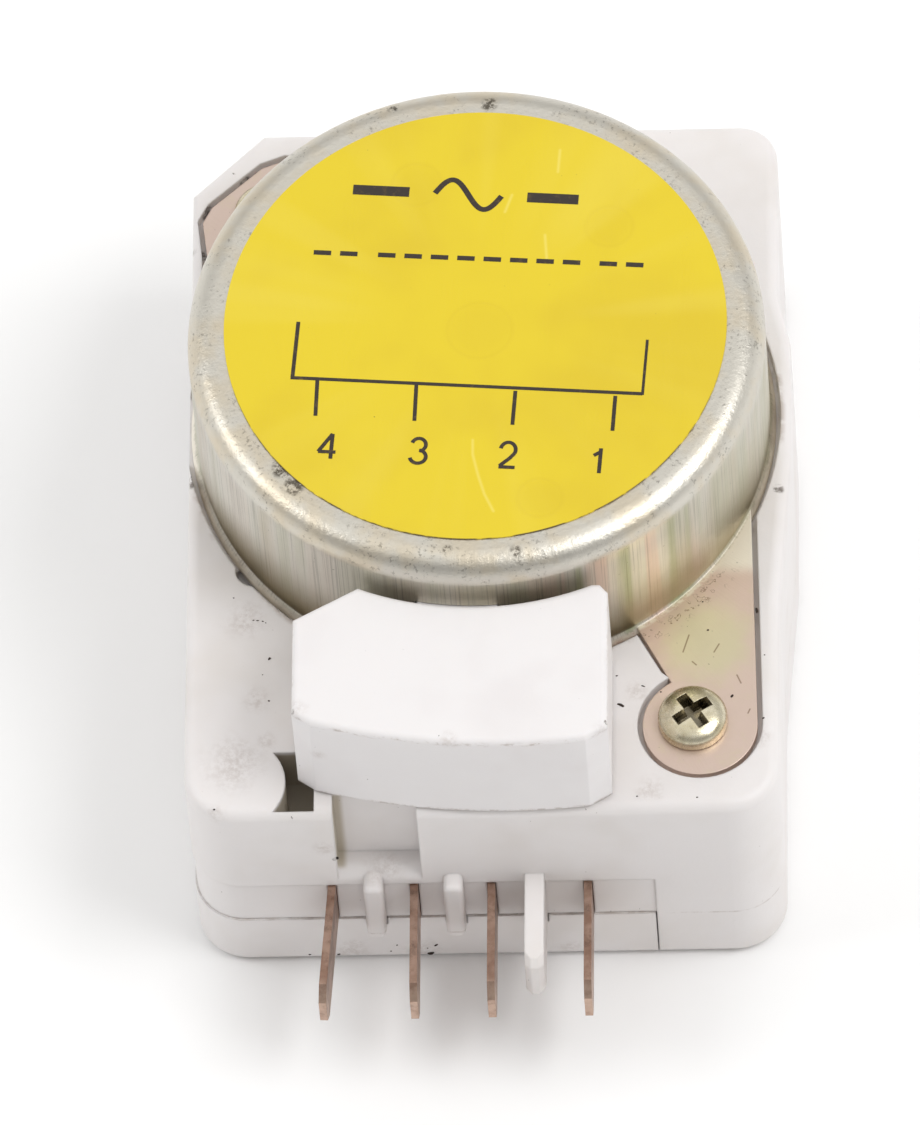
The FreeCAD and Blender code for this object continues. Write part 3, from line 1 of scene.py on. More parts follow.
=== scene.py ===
"""Looks of a defrost timer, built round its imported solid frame.

The frame's nodes keep their shapes and get procedural finishes. New pieces are the print on the label, the
screws with their cross recesses, the loose dirt and the studio floor. All places are in the frame's own axes,
the studio's in metres and all others in millimetres.
"""

from __future__ import annotations

import json
import logging
import math
from dataclasses import dataclass, field
from enum import Enum
from typing import Callable, Iterable, Protocol, Sequence

import bmesh
import bpy
import numpy as np
from mathutils import Matrix, Vector

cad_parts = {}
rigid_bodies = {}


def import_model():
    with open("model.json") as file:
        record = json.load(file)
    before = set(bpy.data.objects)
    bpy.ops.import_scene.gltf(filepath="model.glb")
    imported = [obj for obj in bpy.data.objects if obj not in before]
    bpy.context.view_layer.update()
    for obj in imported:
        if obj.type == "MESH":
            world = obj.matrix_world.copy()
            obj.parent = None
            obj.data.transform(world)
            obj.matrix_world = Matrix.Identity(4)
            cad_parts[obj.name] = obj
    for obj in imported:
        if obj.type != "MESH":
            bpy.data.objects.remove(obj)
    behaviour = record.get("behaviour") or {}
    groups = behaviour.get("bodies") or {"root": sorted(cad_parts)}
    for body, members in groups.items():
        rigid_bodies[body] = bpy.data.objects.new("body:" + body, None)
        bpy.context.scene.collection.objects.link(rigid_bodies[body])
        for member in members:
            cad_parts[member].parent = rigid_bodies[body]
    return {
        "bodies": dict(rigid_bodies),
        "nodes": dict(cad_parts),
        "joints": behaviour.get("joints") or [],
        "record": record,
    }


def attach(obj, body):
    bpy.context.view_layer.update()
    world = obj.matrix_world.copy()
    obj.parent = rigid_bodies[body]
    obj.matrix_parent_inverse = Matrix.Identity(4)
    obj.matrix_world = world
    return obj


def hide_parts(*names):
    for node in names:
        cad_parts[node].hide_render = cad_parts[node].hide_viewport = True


LOG = logging.getLogger("defrost_timer")
MM = 0.001
Colour = tuple[float, float, float]
Spot = tuple[float, float, float, float]
Line = tuple[float, float, float, float]
Flakes = tuple[tuple[float, float, float, float, float], ...]
Socket = bpy.types.NodeSocket

MOTOR_AXIS = (0.0, 4.25)
SEAT_RADIUS = 23.2
CAN_FOOT_RADIUS = 22.72
LABEL_RADIUS = 19.49
LABEL_TOP = 36.2
DECK_TOP = 22.1
EAR_TOP = 21.95
PARTING_LEVEL = 6.3
WALL_FACE = -31.3
SCREWS = (("screw_front", 16.35, -23.35, 34.0), ("screw_back", -17.0, 23.5, 40.0))
# level and reach of the painted shade in the screws' cross recesses
RECESS_TOP = 23.3
RECESS_REACH = 1.7


def srgb(red: int, green: int, blue: int) -> Colour:
    """Turns a display colour of 0 to 255 into the linear values that shaders take.

    Args:
        red: Red as displayed.
        green: Green as displayed.
        blue: Blue as displayed.

    Returns:
        The linear colour.
    """
    def linear(value: int) -> float:
        """The standard display curve, undone for one channel."""
        part = value / 255.0
        return part / 12.92 if part <= 0.04045 else ((part + 0.055) / 1.055) ** 2.4

    return (linear(red), linear(green), linear(blue))


class Graph:
    """Adds and links the shader nodes of one material; places are object coordinates in millimetres."""

    def __init__(self, name: str) -> None:
        """Starts an empty material with a Principled shader.

        Args:
            name: The material's name.
        """
        self.material = bpy.data.materials.new(name)
        self.material.use_nodes = True
        self.tree = self.material.node_tree
        self.tree.nodes.clear()
        self.shader = self.node("BsdfPrincipled")
        self.put(self.node("OutputMaterial").inputs[0], self.shader.outputs[0])
        scale = self.node("VectorMath")
        scale.operation = "SCALE"
        scale.inputs["Scale"].default_value = 1 / MM
        self.put(scale.inputs[0], self.node("TexCoord").outputs["Object"])
        self.place = scale.outputs[0]
        axes = self.node("SeparateXYZ")
        self.put(axes.inputs[0], self.place)
        self.x, self.y, self.z = axes.outputs

    def node(self, kind: str) -> bpy.types.Node:
        """Adds a shader node of one kind."""
        return self.tree.nodes.new(f"ShaderNode{kind}")

    def put(self, socket: Socket, value: object) -> None:
        """Links a socket to another, or sets its value.

        Args:
            socket: The input to fill.
            value: An output socket, a number or a colour.
        """
        if isinstance(value, Socket):
            self.tree.links.new(value, socket)
        elif isinstance(value, (tuple, list)) and len(value) == 3 and len(socket.default_value) == 4:
            socket.default_value = (*value, 1.0)
        else:
            socket.default_value = value

    def math(self, operation: str, *values: object) -> Socket:
        """One Math node.

        Args:
            operation: The node's operation.
            values: Its inputs in order.

        Returns:
            The result's socket.
        """
        node = self.node("Math")
        node.operation = operation
        for socket, value in zip(node.inputs, values):
            self.put(socket, value)
        return node.outputs[0]

    def rise(self, value: object, low: float, high: float) -> Socket:
        """A smooth step from 0 at low to 1 at high.

        Args:
            value: The socket that is compared.
            low: Where the step starts.
            high: Where the step ends.

        Returns:
            The step's socket.
        """
        node = self.node("MapRange")
        node.interpolation_type = "SMOOTHSTEP"
        flip = low > high
        self.put(node.inputs["Value"], value)
        node.inputs["From Min"].default_value = min(low, high)
        node.inputs["From Max"].default_value = max(low, high)
        node.inputs["To Min"].default_value = 1.0 if flip else 0.0
        node.inputs["To Max"].default_value = 0.0 if flip else 1.0
        return node.outputs[0]

    def near(self, value: object, centre: float, reach: float) -> Socket:
        """1 where a value equals centre, falling smoothly to 0 at reach from it.

        Args:
            value: The socket that is compared.
            centre: The value that gives 1.
            reach: The distance that gives 0.

        Returns:
            The mask's socket.
        """
        gap = self.math("ABSOLUTE", self.minus(value, centre))
        return self.rise(gap, reach, 0.0)

    def fold(self, operation: str, values: Sequence[object]) -> Socket:
        """One operation on the first two values, then on its result and each further value."""
        result = values[0]
        for value in values[1:]:
            result = self.math(operation, result, value)
        return result

    def times(self, *values: object) -> Socket:
        """The product of all the values."""
        return self.fold("MULTIPLY", values)

    def most(self, *values: object) -> Socket:
        """The largest of all the values."""
        return self.fold("MAXIMUM", values)

    def add(self, *values: object) -> Socket:
        """The sum of all the values."""
        return self.fold("ADD", values)

    def minus(self, first: object, second: object) -> Socket:
        """The first value less the second."""
        return self.math("SUBTRACT", first, second)

    def varied(self, base: float, pattern: object, swing: float) -> Socket:
        """A value that a pattern moves: base + pattern * swing."""
        return self.add(base, self.times(pattern, swing))

    def length(self, across: object, along: object) -> Socket:
        """The length of a flat step: the root of across * across + along * along."""
        return self.math("SQRT", self.add(self.times(across, across), self.times(along, along)))

    def radius(self, x: float, y: float) -> Socket:
        """The distance from the vertical line at x, y."""
        return self.length(self.minus(self.x, x), self.minus(self.y, y))

    def on_place(self, operation: str) -> bpy.types.Node:
        """A Vector Math node with the place as its first input."""
        node = self.node("VectorMath")
        node.operation = operation
        self.put(node.inputs[0], self.place)
        return node

    def stretched(self, scale: Sequence[float]) -> Socket:
        """The place, scaled by its own factor along each axis."""
        node = self.on_place("MULTIPLY")
        node.inputs[1].default_value = tuple(scale)
        return node.outputs[0]

    def around(self, x: float, y: float, turns: float, height: float) -> Socket:
        """Coordinates wrapped round a vertical line: (cos, sin) of the angle times turns, and the scaled height.

        Args:
            x: The line's place in X.
            y: The line's place in Y.
            turns: How large the ring is in pattern units.
            height: The factor on Z.

        Returns:
            A vector socket for a texture.
        """
        reach = self.radius(x, y)
        across = self.math("DIVIDE", self.minus(self.x, x), reach)
        along = self.math("DIVIDE", self.minus(self.y, y), reach)
        node = self.node("CombineXYZ")
        self.put(node.inputs[0], self.times(across, turns))
        self.put(node.inputs[1], self.times(along, turns))
        self.put(node.inputs[2], self.times(self.z, height))
        return node.outputs[0]

    def noise(
        self, scale: float, detail: float = 3.0, rough: float = 0.5, vector: object = None, warp: float = 0.0
    ) -> Socket:
        """Cloud noise with features of about 1/scale millimetres.

        Args:
            scale: Features per millimetre.
            detail: Octaves.
            rough: How strong the finer octaves are.
            vector: Coordinates, the place by default.
            warp: How far the pattern is pulled about.

        Returns:
            The noise's socket.
        """
        node = self.node("TexNoise")
        self.put(node.inputs["Vector"], self.place if vector is None else vector)
        node.inputs["Scale"].default_value = scale
        node.inputs["Detail"].default_value = detail
        node.inputs["Roughness"].default_value = rough
        node.inputs["Distortion"].default_value = warp
        return node.outputs[0]

    def blend(self, amount: object, first: object, second: object) -> Socket:
        """A mix of two colours.

        Args:
            amount: How much of the second colour shows.
            first: The colour at 0.
            second: The colour at 1.

        Returns:
            The mixed colour's socket.
        """
        node = self.node("Mix")
        node.data_type = "RGBA"
        self.put(node.inputs[0], amount)
        self.put(node.inputs[6], first)
        self.put(node.inputs[7], second)
        return node.outputs[2]

    def spots(self, places: Iterable[Spot], ragged: float = 0.35) -> Socket:
        """Soft patches with ragged edges round given points.

        Args:
            places: The points, each (x, y, z, radius) in millimetres.
            ragged: How much noise moves the patches' edges, as a share of the radius.

        Returns:
            A mask of all the patches.
        """
        wander = self.minus(self.noise(0.8, 2.0, 0.5), 0.5)
        result: object = 0.0
        for x, y, z, radius in places:
            node = self.on_place("DISTANCE")
            node.inputs[1].default_value = (x, y, z)
            pulled = self.add(node.outputs["Value"], self.times(wander, radius * ragged * 2))
            result = self.most(result, self.rise(pulled, radius, 0.0))
        return result

    def scratches(self, lines: Iterable[Line], width: float) -> Socket:
        """Thin marks along straight lines seen from above.

        The distance to each line is that to its nearest point, start + (end - start) * clamp(share).

        Args:
            lines: The lines, each (x, y, x, y) in millimetres.
            width: Half the width of a mark.

        Returns:
            A mask of all the marks.
        """
        result: object = 0.0
        for x0, y0, x1, y1 in lines:
            length = (x1 - x0) ** 2 + (y1 - y0) ** 2
            across = self.times(self.minus(self.x, x0), (x1 - x0) / length)
            along = self.times(self.minus(self.y, y0), (y1 - y0) / length)
            share = self.add(across, along)
            share = self.math("MINIMUM", self.most(share, 0.0), 1.0)
            near_x = self.add(self.times(share, x1 - x0), x0)
            near_y = self.add(self.times(share, y1 - y0), y0)
            gap = self.length(self.minus(self.x, near_x), self.minus(self.y, near_y))
            result = self.most(result, self.rise(gap, width, 0.0))
        return result

    def bump(self, height: object, depth: float, under: object = None) -> Socket:
        """A normal from a height pattern.

        Args:
            height: The pattern.
            depth: The relief in millimetres.
            under: A normal to start from.

        Returns:
            The normal's socket.
        """
        node = self.node("Bump")
        node.inputs["Distance"].default_value = depth * MM
        self.put(node.inputs["Height"], height)
        if under is not None:
            self.put(node.inputs["Normal"], under)
        return node.outputs[0]

    def soft_edges(self, radius: float) -> Socket:
        """A normal that rounds sharp edges by a radius in millimetres."""
        node = self.node("Bevel")
        node.samples = 6
        node.inputs["Radius"].default_value = radius * MM
        return node.outputs[0]

    def finish(
        self, colour: object, rough: object, metallic: float = 0.0, normal: object = None, specular: float = 0.5
    ) -> bpy.types.Material:
        """Fills the shader and returns the material.

        Args:
            colour: Base colour.
            rough: Roughness.
            metallic: 1 for bare metal.
            normal: The final normal.
            specular: How strongly the clear surface reflects.

        Returns:
            The finished material.
        """
        self.put(self.shader.inputs["Base Color"], colour)
        self.put(self.shader.inputs["Roughness"], rough)
        self.shader.inputs["Metallic"].default_value = metallic
        self.shader.inputs["Specular IOR Level"].default_value = specular
        if normal is not None:
            self.put(self.shader.inputs["Normal"], normal)
        return self.material


class Streaks(Enum):
    """Which way a metal's fine drawing or brushing marks run."""

    NONE = "none"
    UPRIGHT = "upright"
    ALONG_Y = "along_y"
    ROUND = "round"


@dataclass(frozen=True)
class WhitePlastic:
    """The housing's white moulded plastic, with dirt where hands and seams gather it, and painted shade along its
    parting seam and at the lead cover's foot.
    """

    name: str
    clean: Colour = srgb(227, 223, 222)
    shade: Colour = srgb(221, 216, 213)
    dirt: Colour = srgb(128, 100, 76)
    grime: Colour = srgb(74, 58, 44)
    shadow: Colour = srgb(168, 156, 132)
    smudges: tuple[Spot, ...] = ()
    stains: tuple[Spot, ...] = ()
    seam: bool = False
    seat: bool = False
    pocket: bool = False
    edge_level: float | None = None
    # level of the painted shade along the lead cover's foot
    shaded_foot_level: float = 22.4

    def build(self) -> bpy.types.Material:
        """Makes the material: cloudy whites, sparse specks, painted shade with some brown dirt along the parting
        seam, dirt at the foot, a brown ring round the motor's seat, painted shade at the lead cover's foot and a
        painted shadow in the lead pocket.
        """
        g = Graph(self.name)
        clouds = g.rise(g.noise(0.09, 3.0, 0.6), 0.42, 0.72)
        colour = g.blend(clouds, self.clean, self.shade)
        ragged = g.rise(g.noise(0.9, 5.0, 0.7), 0.40, 0.66)
        specks = g.rise(g.noise(2.3, 2.0, 0.5), 0.765, 0.80)
        colour = g.blend(g.times(specks, 0.75), colour, self.grime)
        if self.seam:
            # painted shade: a thin line along the parting seam is darkened toward the dirt colour for the groove's
            # shadow, with some real dirt in it; the strip at the foot is dirt
            line = g.times(g.near(g.z, PARTING_LEVEL, 0.16), ragged, 0.35)
            foot = g.times(g.rise(g.z, 0.8, 0.0), g.rise(g.noise(0.5, 4.0, 0.7), 0.5, 0.68), 0.4)
            colour = g.blend(g.most(line, foot), colour, self.dirt)
        if self.seat:
            # a noise-broken brown ring darkens the deck's edge and the wall of the motor's seat
            ring = g.times(
                g.near(g.radius(*MOTOR_AXIS), SEAT_RADIUS, 0.55), g.rise(g.z, 20.9, 21.3),
                g.rise(g.noise(0.28, 4.0, 0.7), 0.46, 0.64), 0.5,
            )
            colour = g.blend(ring, colour, self.dirt)
        if self.pocket:
            inside = g.times(
                g.rise(g.x, -17.2, -16.6), g.rise(g.x, -10.6, -11.2),
                g.rise(g.y, -30.9, -30.4), g.rise(g.z, 21.95, 21.5), g.rise(g.y, -24.4, -25.0), 0.75,
            )
            colour = g.blend(inside, colour, self.shadow)
        if self.edge_level is not None:
            worn = g.times(
                g.near(g.z, self.edge_level, 0.30), g.rise(g.y, -18.6, -19.6),
                g.rise(g.noise(1.0, 5.0, 0.75, g.stretched((0.9, 0.9, 3.0))), 0.50, 0.66), 0.5,
            )
            # painted shade: the lead cover's foot, where it meets the deck, is darkened in the dirt colour for the
            # shade there
            under = g.times(g.near(g.z, self.shaded_foot_level, 0.35), g.rise(g.noise(0.8, 4.0, 0.7), 0.42, 0.6), 0.45)
            colour = g.blend(g.most(worn, under), colour, self.dirt)
        if self.smudges:
            mottle = g.rise(g.noise(2.0, 4.0, 0.7), 0.34, 0.66)
            colour = g.blend(g.times(g.spots(self.smudges), mottle, 0.26), colour, self.dirt)
        if self.stains:
            broken = g.rise(g.noise(1.6, 5.0, 0.75), 0.40, 0.56)
            colour = g.blend(g.times(g.rise(g.spots(self.stains), 0.05, 0.5), broken, 0.8), colour, self.grime)
        grain = g.noise(3.5, 3.0, 0.6)
        waves = g.noise(0.16, 2.0, 0.5)
        normal = g.bump(waves, 0.10, g.bump(grain, 0.010, g.soft_edges(0.25)))
        rough = g.varied(0.34, g.noise(0.4, 4.0, 0.6), 0.22)
        g.shader.inputs["Subsurface Weight"].default_value = 0.12
        g.shader.inputs["Subsurface Scale"].default_value = 0.0015
        g.shader.inputs["Subsurface Radius"].default_value = (1.0, 0.9, 0.8)
        return g.finish(colour, rough, normal=normal, specular=0.45)


@dataclass(frozen=True)
class CanSteel:
    """Drawn steel with a pale yellow passivation: streaked wall, bright shoulder, pinkish ears."""

    name: str
    grey: Colour = srgb(210, 206, 196)
    olive: Colour = srgb(186, 178, 150)
    green: Colour = srgb(166, 172, 136)
    pink: Colour = srgb(214, 194, 182)
    tan: Colour = srgb(212, 198, 172)
    # pale colour of the foot rim and of the curve from wall to flange: wear, with painted light
    worn: Colour = srgb(236, 230, 218)
    dark: Colour = srgb(70, 62, 50)
    # painted shade colour for the foot of the can's front wall
    low: Colour = srgb(134, 120, 88)
    lime: Colour = srgb(208, 204, 168)
    brown: Colour = srgb(120, 92, 66)
    smudges: tuple[Spot, ...] = ()
    ear_scratches: tuple[Line, ...] = (
        (15.58, -17.11, 16.04, -15.59), (17.98, -17.17, 18.37, -16.45), (19.75, -19.28, 20.06, -20.01),
        (20.6, -22.73, 20.75, -22.37), (16.6, -18.3, 16.3, -18.0),
    )
    ear_middle: tuple[float, float] = (17.4, -16.2)
    shoulder: tuple[float, float] = (33.6, 34.6)

    def build(self) -> bpy.types.Material:
        """Makes the material from the height above the deck and the distance from the motor's axis."""
        g = Graph(self.name)
        reach = g.radius(*MOTOR_AXIS)
        fine = g.noise(1.0, 4.0, 0.65, g.around(*MOTOR_AXIS, 190.0, 0.05))
        broad = g.noise(1.0, 3.0, 0.5, g.around(*MOTOR_AXIS, 9.0, 0.015))
        tint = g.noise(1.0, 3.0, 0.55, g.around(*MOTOR_AXIS, 3.2, 0.03))
        wall = g.blend(g.times(g.rise(tint, 0.42, 0.62), 0.6), self.grey, self.olive)
        front_right = g.times(g.rise(g.x, 1.0, 8.0), g.rise(g.x, 21.0, 14.0), g.rise(g.y, -8.0, -13.0))
        greenish = g.times(g.rise(broad, 0.47, 0.62), g.add(g.times(front_right, 0.6), 0.2))
        wall = g.blend(greenish, wall, self.green)
        pinkish = g.times(g.rise(broad, 0.50, 0.36), g.add(g.times(front_right, 0.7), 0.15))
        wall = g.blend(pinkish, wall, self.pink)
        wall = g.blend(g.times(g.rise(fine, 0.50, 0.66), 0.30), wall, self.dark)
        # painted shade: the front of the can's wall darkens toward its foot, a painted reflection of the shaded
        # deck
        low = g.times(g.rise(g.z, 29.5, 22.6), g.rise(g.z, 22.0, 22.4), g.rise(g.y, 2.0, -8.0), 0.85)
        wall = g.blend(low, wall, self.low)
        shoulder = g.rise(g.z, *self.shoulder)
        top_tint = g.blend(g.rise(g.noise(0.22, 3.0, 0.6), 0.42, 0.66), self.grey, self.tan)
        pores = g.rise(g.noise(3.0, 4.0, 0.7), 0.54, 0.66)
        crest = g.times(pores, g.rise(g.noise(0.35, 3.0, 0.6), 0.42, 0.60), 0.45)
        colour = g.blend(shoulder, wall, g.blend(crest, g.blend(0.6, self.grey, top_tint), self.dark))
        front_ear = g.times(g.rise(g.x, 6.5, 8.0), g.rise(g.y, -9.0, -10.5))
        back_ear = g.times(g.rise(g.x, -8.0, -9.5), g.rise(g.y, 13.5, 15.0))
        # the foot rim is painted pale: partly wear, partly painted light that offsets its shade in the motor's seat
        foot = g.times(g.rise(g.z, 22.35, 22.15), g.rise(reach, 22.5, 22.8))
        colour = g.blend(foot, colour, self.worn)
        ear = g.times(foot, g.most(front_ear, back_ear))
        middle = g.rise(g.radius(*self.ear_middle), 5.5, 1.0)
        middle = g.add(middle, g.minus(g.noise(0.5, 3.0, 0.6), 0.5))
        ear_colour = g.blend(g.times(g.rise(middle, 0.0, 1.0), 0.7), self.pink, self.lime)
        ear_colour = g.blend(g.times(g.rise(g.noise(0.9, 4.0, 0.65), 0.50, 0.68), 0.35), ear_colour, self.tan)
        hollows = g.times(g.near(reach, 23.7, 1.1), g.near(g.noise(1.9, 2.0, 0.5), 0.60, 0.035), 0.8)
        marks = g.most(g.times(g.scratches(self.ear_scratches, 0.10), 0.75), hollows)
        ear_colour = g.blend(marks, ear_colour, self.brown)
        colour = g.blend(ear, colour, ear_colour)
        # a pale line where the wall curves into the flange: partly wear, partly a painted highlight
        bend_wear_and_highlight = g.times(g.near(reach, CAN_FOOT_RADIUS, 0.32), g.rise(g.z, 22.7, 22.3))
        colour = g.blend(g.times(bend_wear_and_highlight, g.rise(g.noise(1.5, 4.0, 0.75), 0.38, 0.54)), colour, self.worn)
        pits = g.rise(g.noise(2.6, 3.0, 0.6), 0.70, 0.76)
        colour = g.blend(g.times(pits, 0.5), colour, self.dark)
        if self.smudges:
            streaky = g.rise(g.noise(1.8, 4.0, 0.75), 0.40, 0.56)
            blots = g.rise(g.spots(self.smudges, 0.3), 0.0, 0.6)
            colour = g.blend(g.times(blots, streaky, 0.85), colour, self.dark)
        rough = g.varied(0.27, g.noise(0.7, 4.0, 0.65), 0.20)
        rough = g.add(rough, g.times(g.rise(g.z, 34.0, 32.5), 0.10))
        hammered = g.times(g.noise(2.6, 4.0, 0.7), g.rise(g.z, 33.0, 34.6))
        grain = g.bump(hammered, 0.035, g.bump(g.noise(1.3, 4.0, 0.7), 0.012, g.soft_edges(0.12)))
        grain = g.bump(fine, 0.012, grain)
        return g.finish(colour, rough, metallic=1.0, normal=grain)


@dataclass(frozen=True)
class YellowFilm:
    """The label's yellow film, with faint rings and wrinkles where it was pressed down."""

    name: str
    yellow: Colour = srgb(221, 196, 18)
    deep: Colour = srgb(214, 187, 18)
    pale: Colour = srgb(236, 220, 110)
    rim: Colour = srgb(96, 78, 30)
    press: Colour = srgb(206, 178, 16)
    rings: tuple[tuple[float, float, float], ...] = (
        (0.38, 3.7, 2.5), (5.09, -11.6, 1.7), (-4.6, 17.2, 1.9), (10.4, 13.0, 1.8),
    )
    scratches: tuple[Line, ...] = (
        (-0.13, -6.29, -0.12, -7.6), (-0.12, -7.6, 0.3, -9.47), (0.3, -9.47, 0.8, -11.2), (0.8, -11.2, 1.5, -12.75),
        (6.52, 20.1, 6.37, 18.1), (5.38, 12.3, 5.54, 9.8), (2.26, 14.5, 2.8, 16.05),
    )

    def build(self) -> bpy.types.Material:
        """Makes the material: flat yellow, darker press marks, pale scratches and an edge darkened along its front.
        """
        g = Graph(self.name)
        clouds = g.rise(g.noise(0.07, 3.0, 0.55), 0.40, 0.68)
        colour = g.blend(clouds, self.yellow, self.deep)
        marks: object = 0.0
        for x, y, radius in self.rings:
            disc = g.rise(g.radius(x, y), radius * 1.3, radius * 0.5)
            line = g.times(g.near(g.radius(x, y), radius, 0.35), 0.7)
            marks = g.most(marks, g.most(g.times(disc, 0.7), line))
        colour = g.blend(g.times(marks, 0.30), colour, self.press)
        streaks = g.rise(g.noise(1.0, 2.0, 0.5, g.around(*MOTOR_AXIS, 3.0, 0.1)), 0.48, 0.70)
        colour = g.blend(g.times(streaks, g.rise(g.radius(*MOTOR_AXIS), 6.0, 14.0), 0.14), colour, self.pale)
        colour = g.blend(g.times(g.scratches(self.scratches, 0.20), 0.5), colour, self.pale)
        specks = g.rise(g.noise(2.9, 2.0, 0.5), 0.775, 0.80)
        colour = g.blend(g.times(specks, 0.6), colour, self.rim)
        # the front half of the label's edge is darkened toward the rim colour in ragged patches
        edge = g.times(
            g.near(g.radius(*MOTOR_AXIS), LABEL_RADIUS, 0.10), g.rise(g.y, 2.0, -8.0),
            g.rise(g.noise(0.5, 3.0, 0.6), 0.36, 0.5),
        )
        colour = g.blend(edge, colour, self.rim)
        wrinkles = g.noise(1.0, 3.0, 0.55, g.stretched((0.34, 0.12, 0.2)), 0.8)
        normal = g.bump(wrinkles, 0.10, g.bump(marks, 0.02))
        g.shader.inputs["Coat Weight"].default_value = 0.12
        g.shader.inputs["Coat Roughness"].default_value = 0.25
        rough = g.varied(0.36, g.noise(0.5, 3.0, 0.6), 0.14)
        return g.finish(colour, rough, normal=normal)


@dataclass(frozen=True)
class Ink:
    """The label's dark brown print, slightly worn."""

    name: str
    ink: Colour = srgb(44, 34, 26)
    faded: Colour = srgb(78, 62, 34)

    def build(self) -> bpy.types.Material:
        """Makes the material: dark ink with worn patches."""
        g = Graph(self.name)
        colour = g.blend(g.rise(g.noise(1.6, 4.0, 0.7), 0.52, 0.70), self.ink, self.faded)
        rough = g.varied(0.42, g.noise(1.0), 0.12)
        return g.finish(colour, rough)


@dataclass(frozen=True)
class BareMetal:
    """A plain metal with marks that run one way, stains and a lighter worn end."""

    name: str
    main: Colour
    second: Colour
    stain: Colour
    bare: Colour = srgb(206, 180, 162)
    recess_shade: Colour = srgb(66, 58, 46)
    rough: float = 0.35
    stained: float = 0.5
    grain: float = 1.0
    streaks: Streaks = Streaks.NONE
    axis: tuple[float, float] = MOTOR_AXIS
    bright_end: float | None = None
    relief: float = 0.012
    # painted shade in cross recesses, each (x, y, top level, reach)
    recesses: tuple[Spot, ...] = ()

    def build(self) -> bpy.types.Material:
        """Makes the material: two tones in clouds, stains, and marks along or round the piece."""
        g = Graph(self.name)
        vectors: dict[Streaks, Callable[[], object]] = {
            Streaks.NONE: lambda: g.place,
            Streaks.UPRIGHT: lambda: g.stretched((1.0, 1.0, 0.05)),
            Streaks.ALONG_Y: lambda: g.stretched((1.0, 0.06, 1.0)),
            Streaks.ROUND: lambda: g.around(*self.axis, 2.0, 3.0),
        }
        marks = g.noise(2.4 * self.grain, 4.0, 0.65, vectors[self.streaks]())
        clouds = g.rise(g.noise(0.35 * self.grain, 4.0, 0.6), 0.38, 0.64)
        colour = g.blend(clouds, self.main, self.second)
        stains = g.rise(g.noise(0.8 * self.grain, 5.0, 0.7), 0.48, 0.70)
        colour = g.blend(g.times(stains, self.stained), colour, self.stain)
        if self.bright_end is not None:
            tip = g.rise(g.y, self.bright_end + 0.9, self.bright_end)
            tip = g.times(tip, g.rise(g.noise(1.2, 3.0, 0.6), 0.3, 0.6), 0.6)
            colour = g.blend(tip, colour, self.bare)
        # painted shade: the inside of each cross recess is darkened
        for x, y, level, reach in self.recesses:
            deep = g.times(g.rise(g.radius(x, y), reach, reach * 0.9), g.rise(g.z, level, level - 0.35), 0.8)
            colour = g.blend(deep, colour, self.recess_shade)
        rough = g.varied(self.rough, g.minus(marks, 0.5), 0.3)
        normal = g.bump(marks, self.relief, g.soft_edges(0.06))
        return g.finish(colour, rough, metallic=1.0, normal=normal)


@dataclass(frozen=True)
class PlainMoulding:
    """A small moulded or pressed inner piece, matt, with flow clouds and a fine grain."""

    name: str
    main: Colour
    second: Colour
    rough: float = 0.45
    depth: float = 0.012
    turns: float = 0.0

    def build(self) -> bpy.types.Material:
        """Makes the material; turns above 0 adds wound rings that follow the height, with painted shade in their
        grooves.
        """
        g = Graph(self.name)
        colour = g.blend(g.rise(g.noise(0.3, 4.0, 0.6), 0.4, 0.66), self.main, self.second)
        height = g.noise(3.0, 3.0, 0.6)
        if self.turns > 0:
            height = g.math("SINE", g.times(g.z, self.turns))
            # painted shade: the grooves between the wound turns are darkened
            colour = g.blend(g.times(g.rise(height, 0.2, -1.0), 0.6), colour, self.second)
        rough = g.varied(self.rough, g.noise(0.9, 4.0, 0.6), 0.15)
        return g.finish(colour, rough, normal=g.bump(height, self.depth, g.soft_edges(0.06)))


def new_piece(
    name: str, points: np.ndarray, faces: Sequence[Sequence[int]], material: bpy.types.Material,
    smooth: bool = False,
) -> bpy.types.Object:
    """Makes a mesh object whose place is in its mesh.

    Args:
        name: The piece's name.
        points: Places in millimetres, one row each.
        faces: Lists of point numbers.
        material: The piece's finish.
        smooth: True for rounded shading.

    Returns:
        The linked object.
    """
    mesh = bpy.data.meshes.new(name)
    mesh.from_pydata((points * MM).tolist(), [], [list(map(int, face)) for face in faces])
    mesh.materials.append(material)
    mesh.polygons.foreach_set("use_smooth", np.full(len(mesh.polygons), smooth))
    mesh.update()
    piece = bpy.data.objects.new(name, mesh)
    bpy.context.scene.collection.objects.link(piece)
    return piece


def join_parts(parts: Sequence[tuple[np.ndarray, np.ndarray]]) -> tuple[np.ndarray, list[list[int]]]:
    """Joins several (points, faces) pairs into one, renumbering the faces.

    Args:
        parts: The pairs.

    Returns:
        All points and all faces.
    """
    offset = 0
    points = []
    faces: list[list[int]] = []
    for part_points, part_faces in parts:
        points.append(part_points)
        faces += (np.asarray(part_faces) + offset).tolist()
        offset += len(part_points)
    return np.vstack(points), faces


def ribbon(path: np.ndarray, width: float, level: float) -> tuple[np.ndarray, np.ndarray]:
    """A flat band of even width along a path in the plane of the label.

    Each point is pushed half the width to either side along the normal of the path's own direction there.

    Args:
        path: Points (x, y) in millimetres.
        width: The band's width.
        level: Its height.

    Returns:
        Points and quads.
    """
    heading = np.gradient(path, axis=0)
    heading /= np.linalg.norm(heading, axis=1, keepdims=True)
    side = np.column_stack((-heading[:, 1], heading[:, 0])) * width / 2
    first = np.column_stack((path + side, np.full(len(path), level)))
    second = np.column_stack((path - side, np.full(len(path), level)))
    count = len(path)
    k = np.arange(count - 1)
    quads = np.column_stack((k + count, k + count + 1, k + 1, k))
    return np.vstack((first, second)), quads


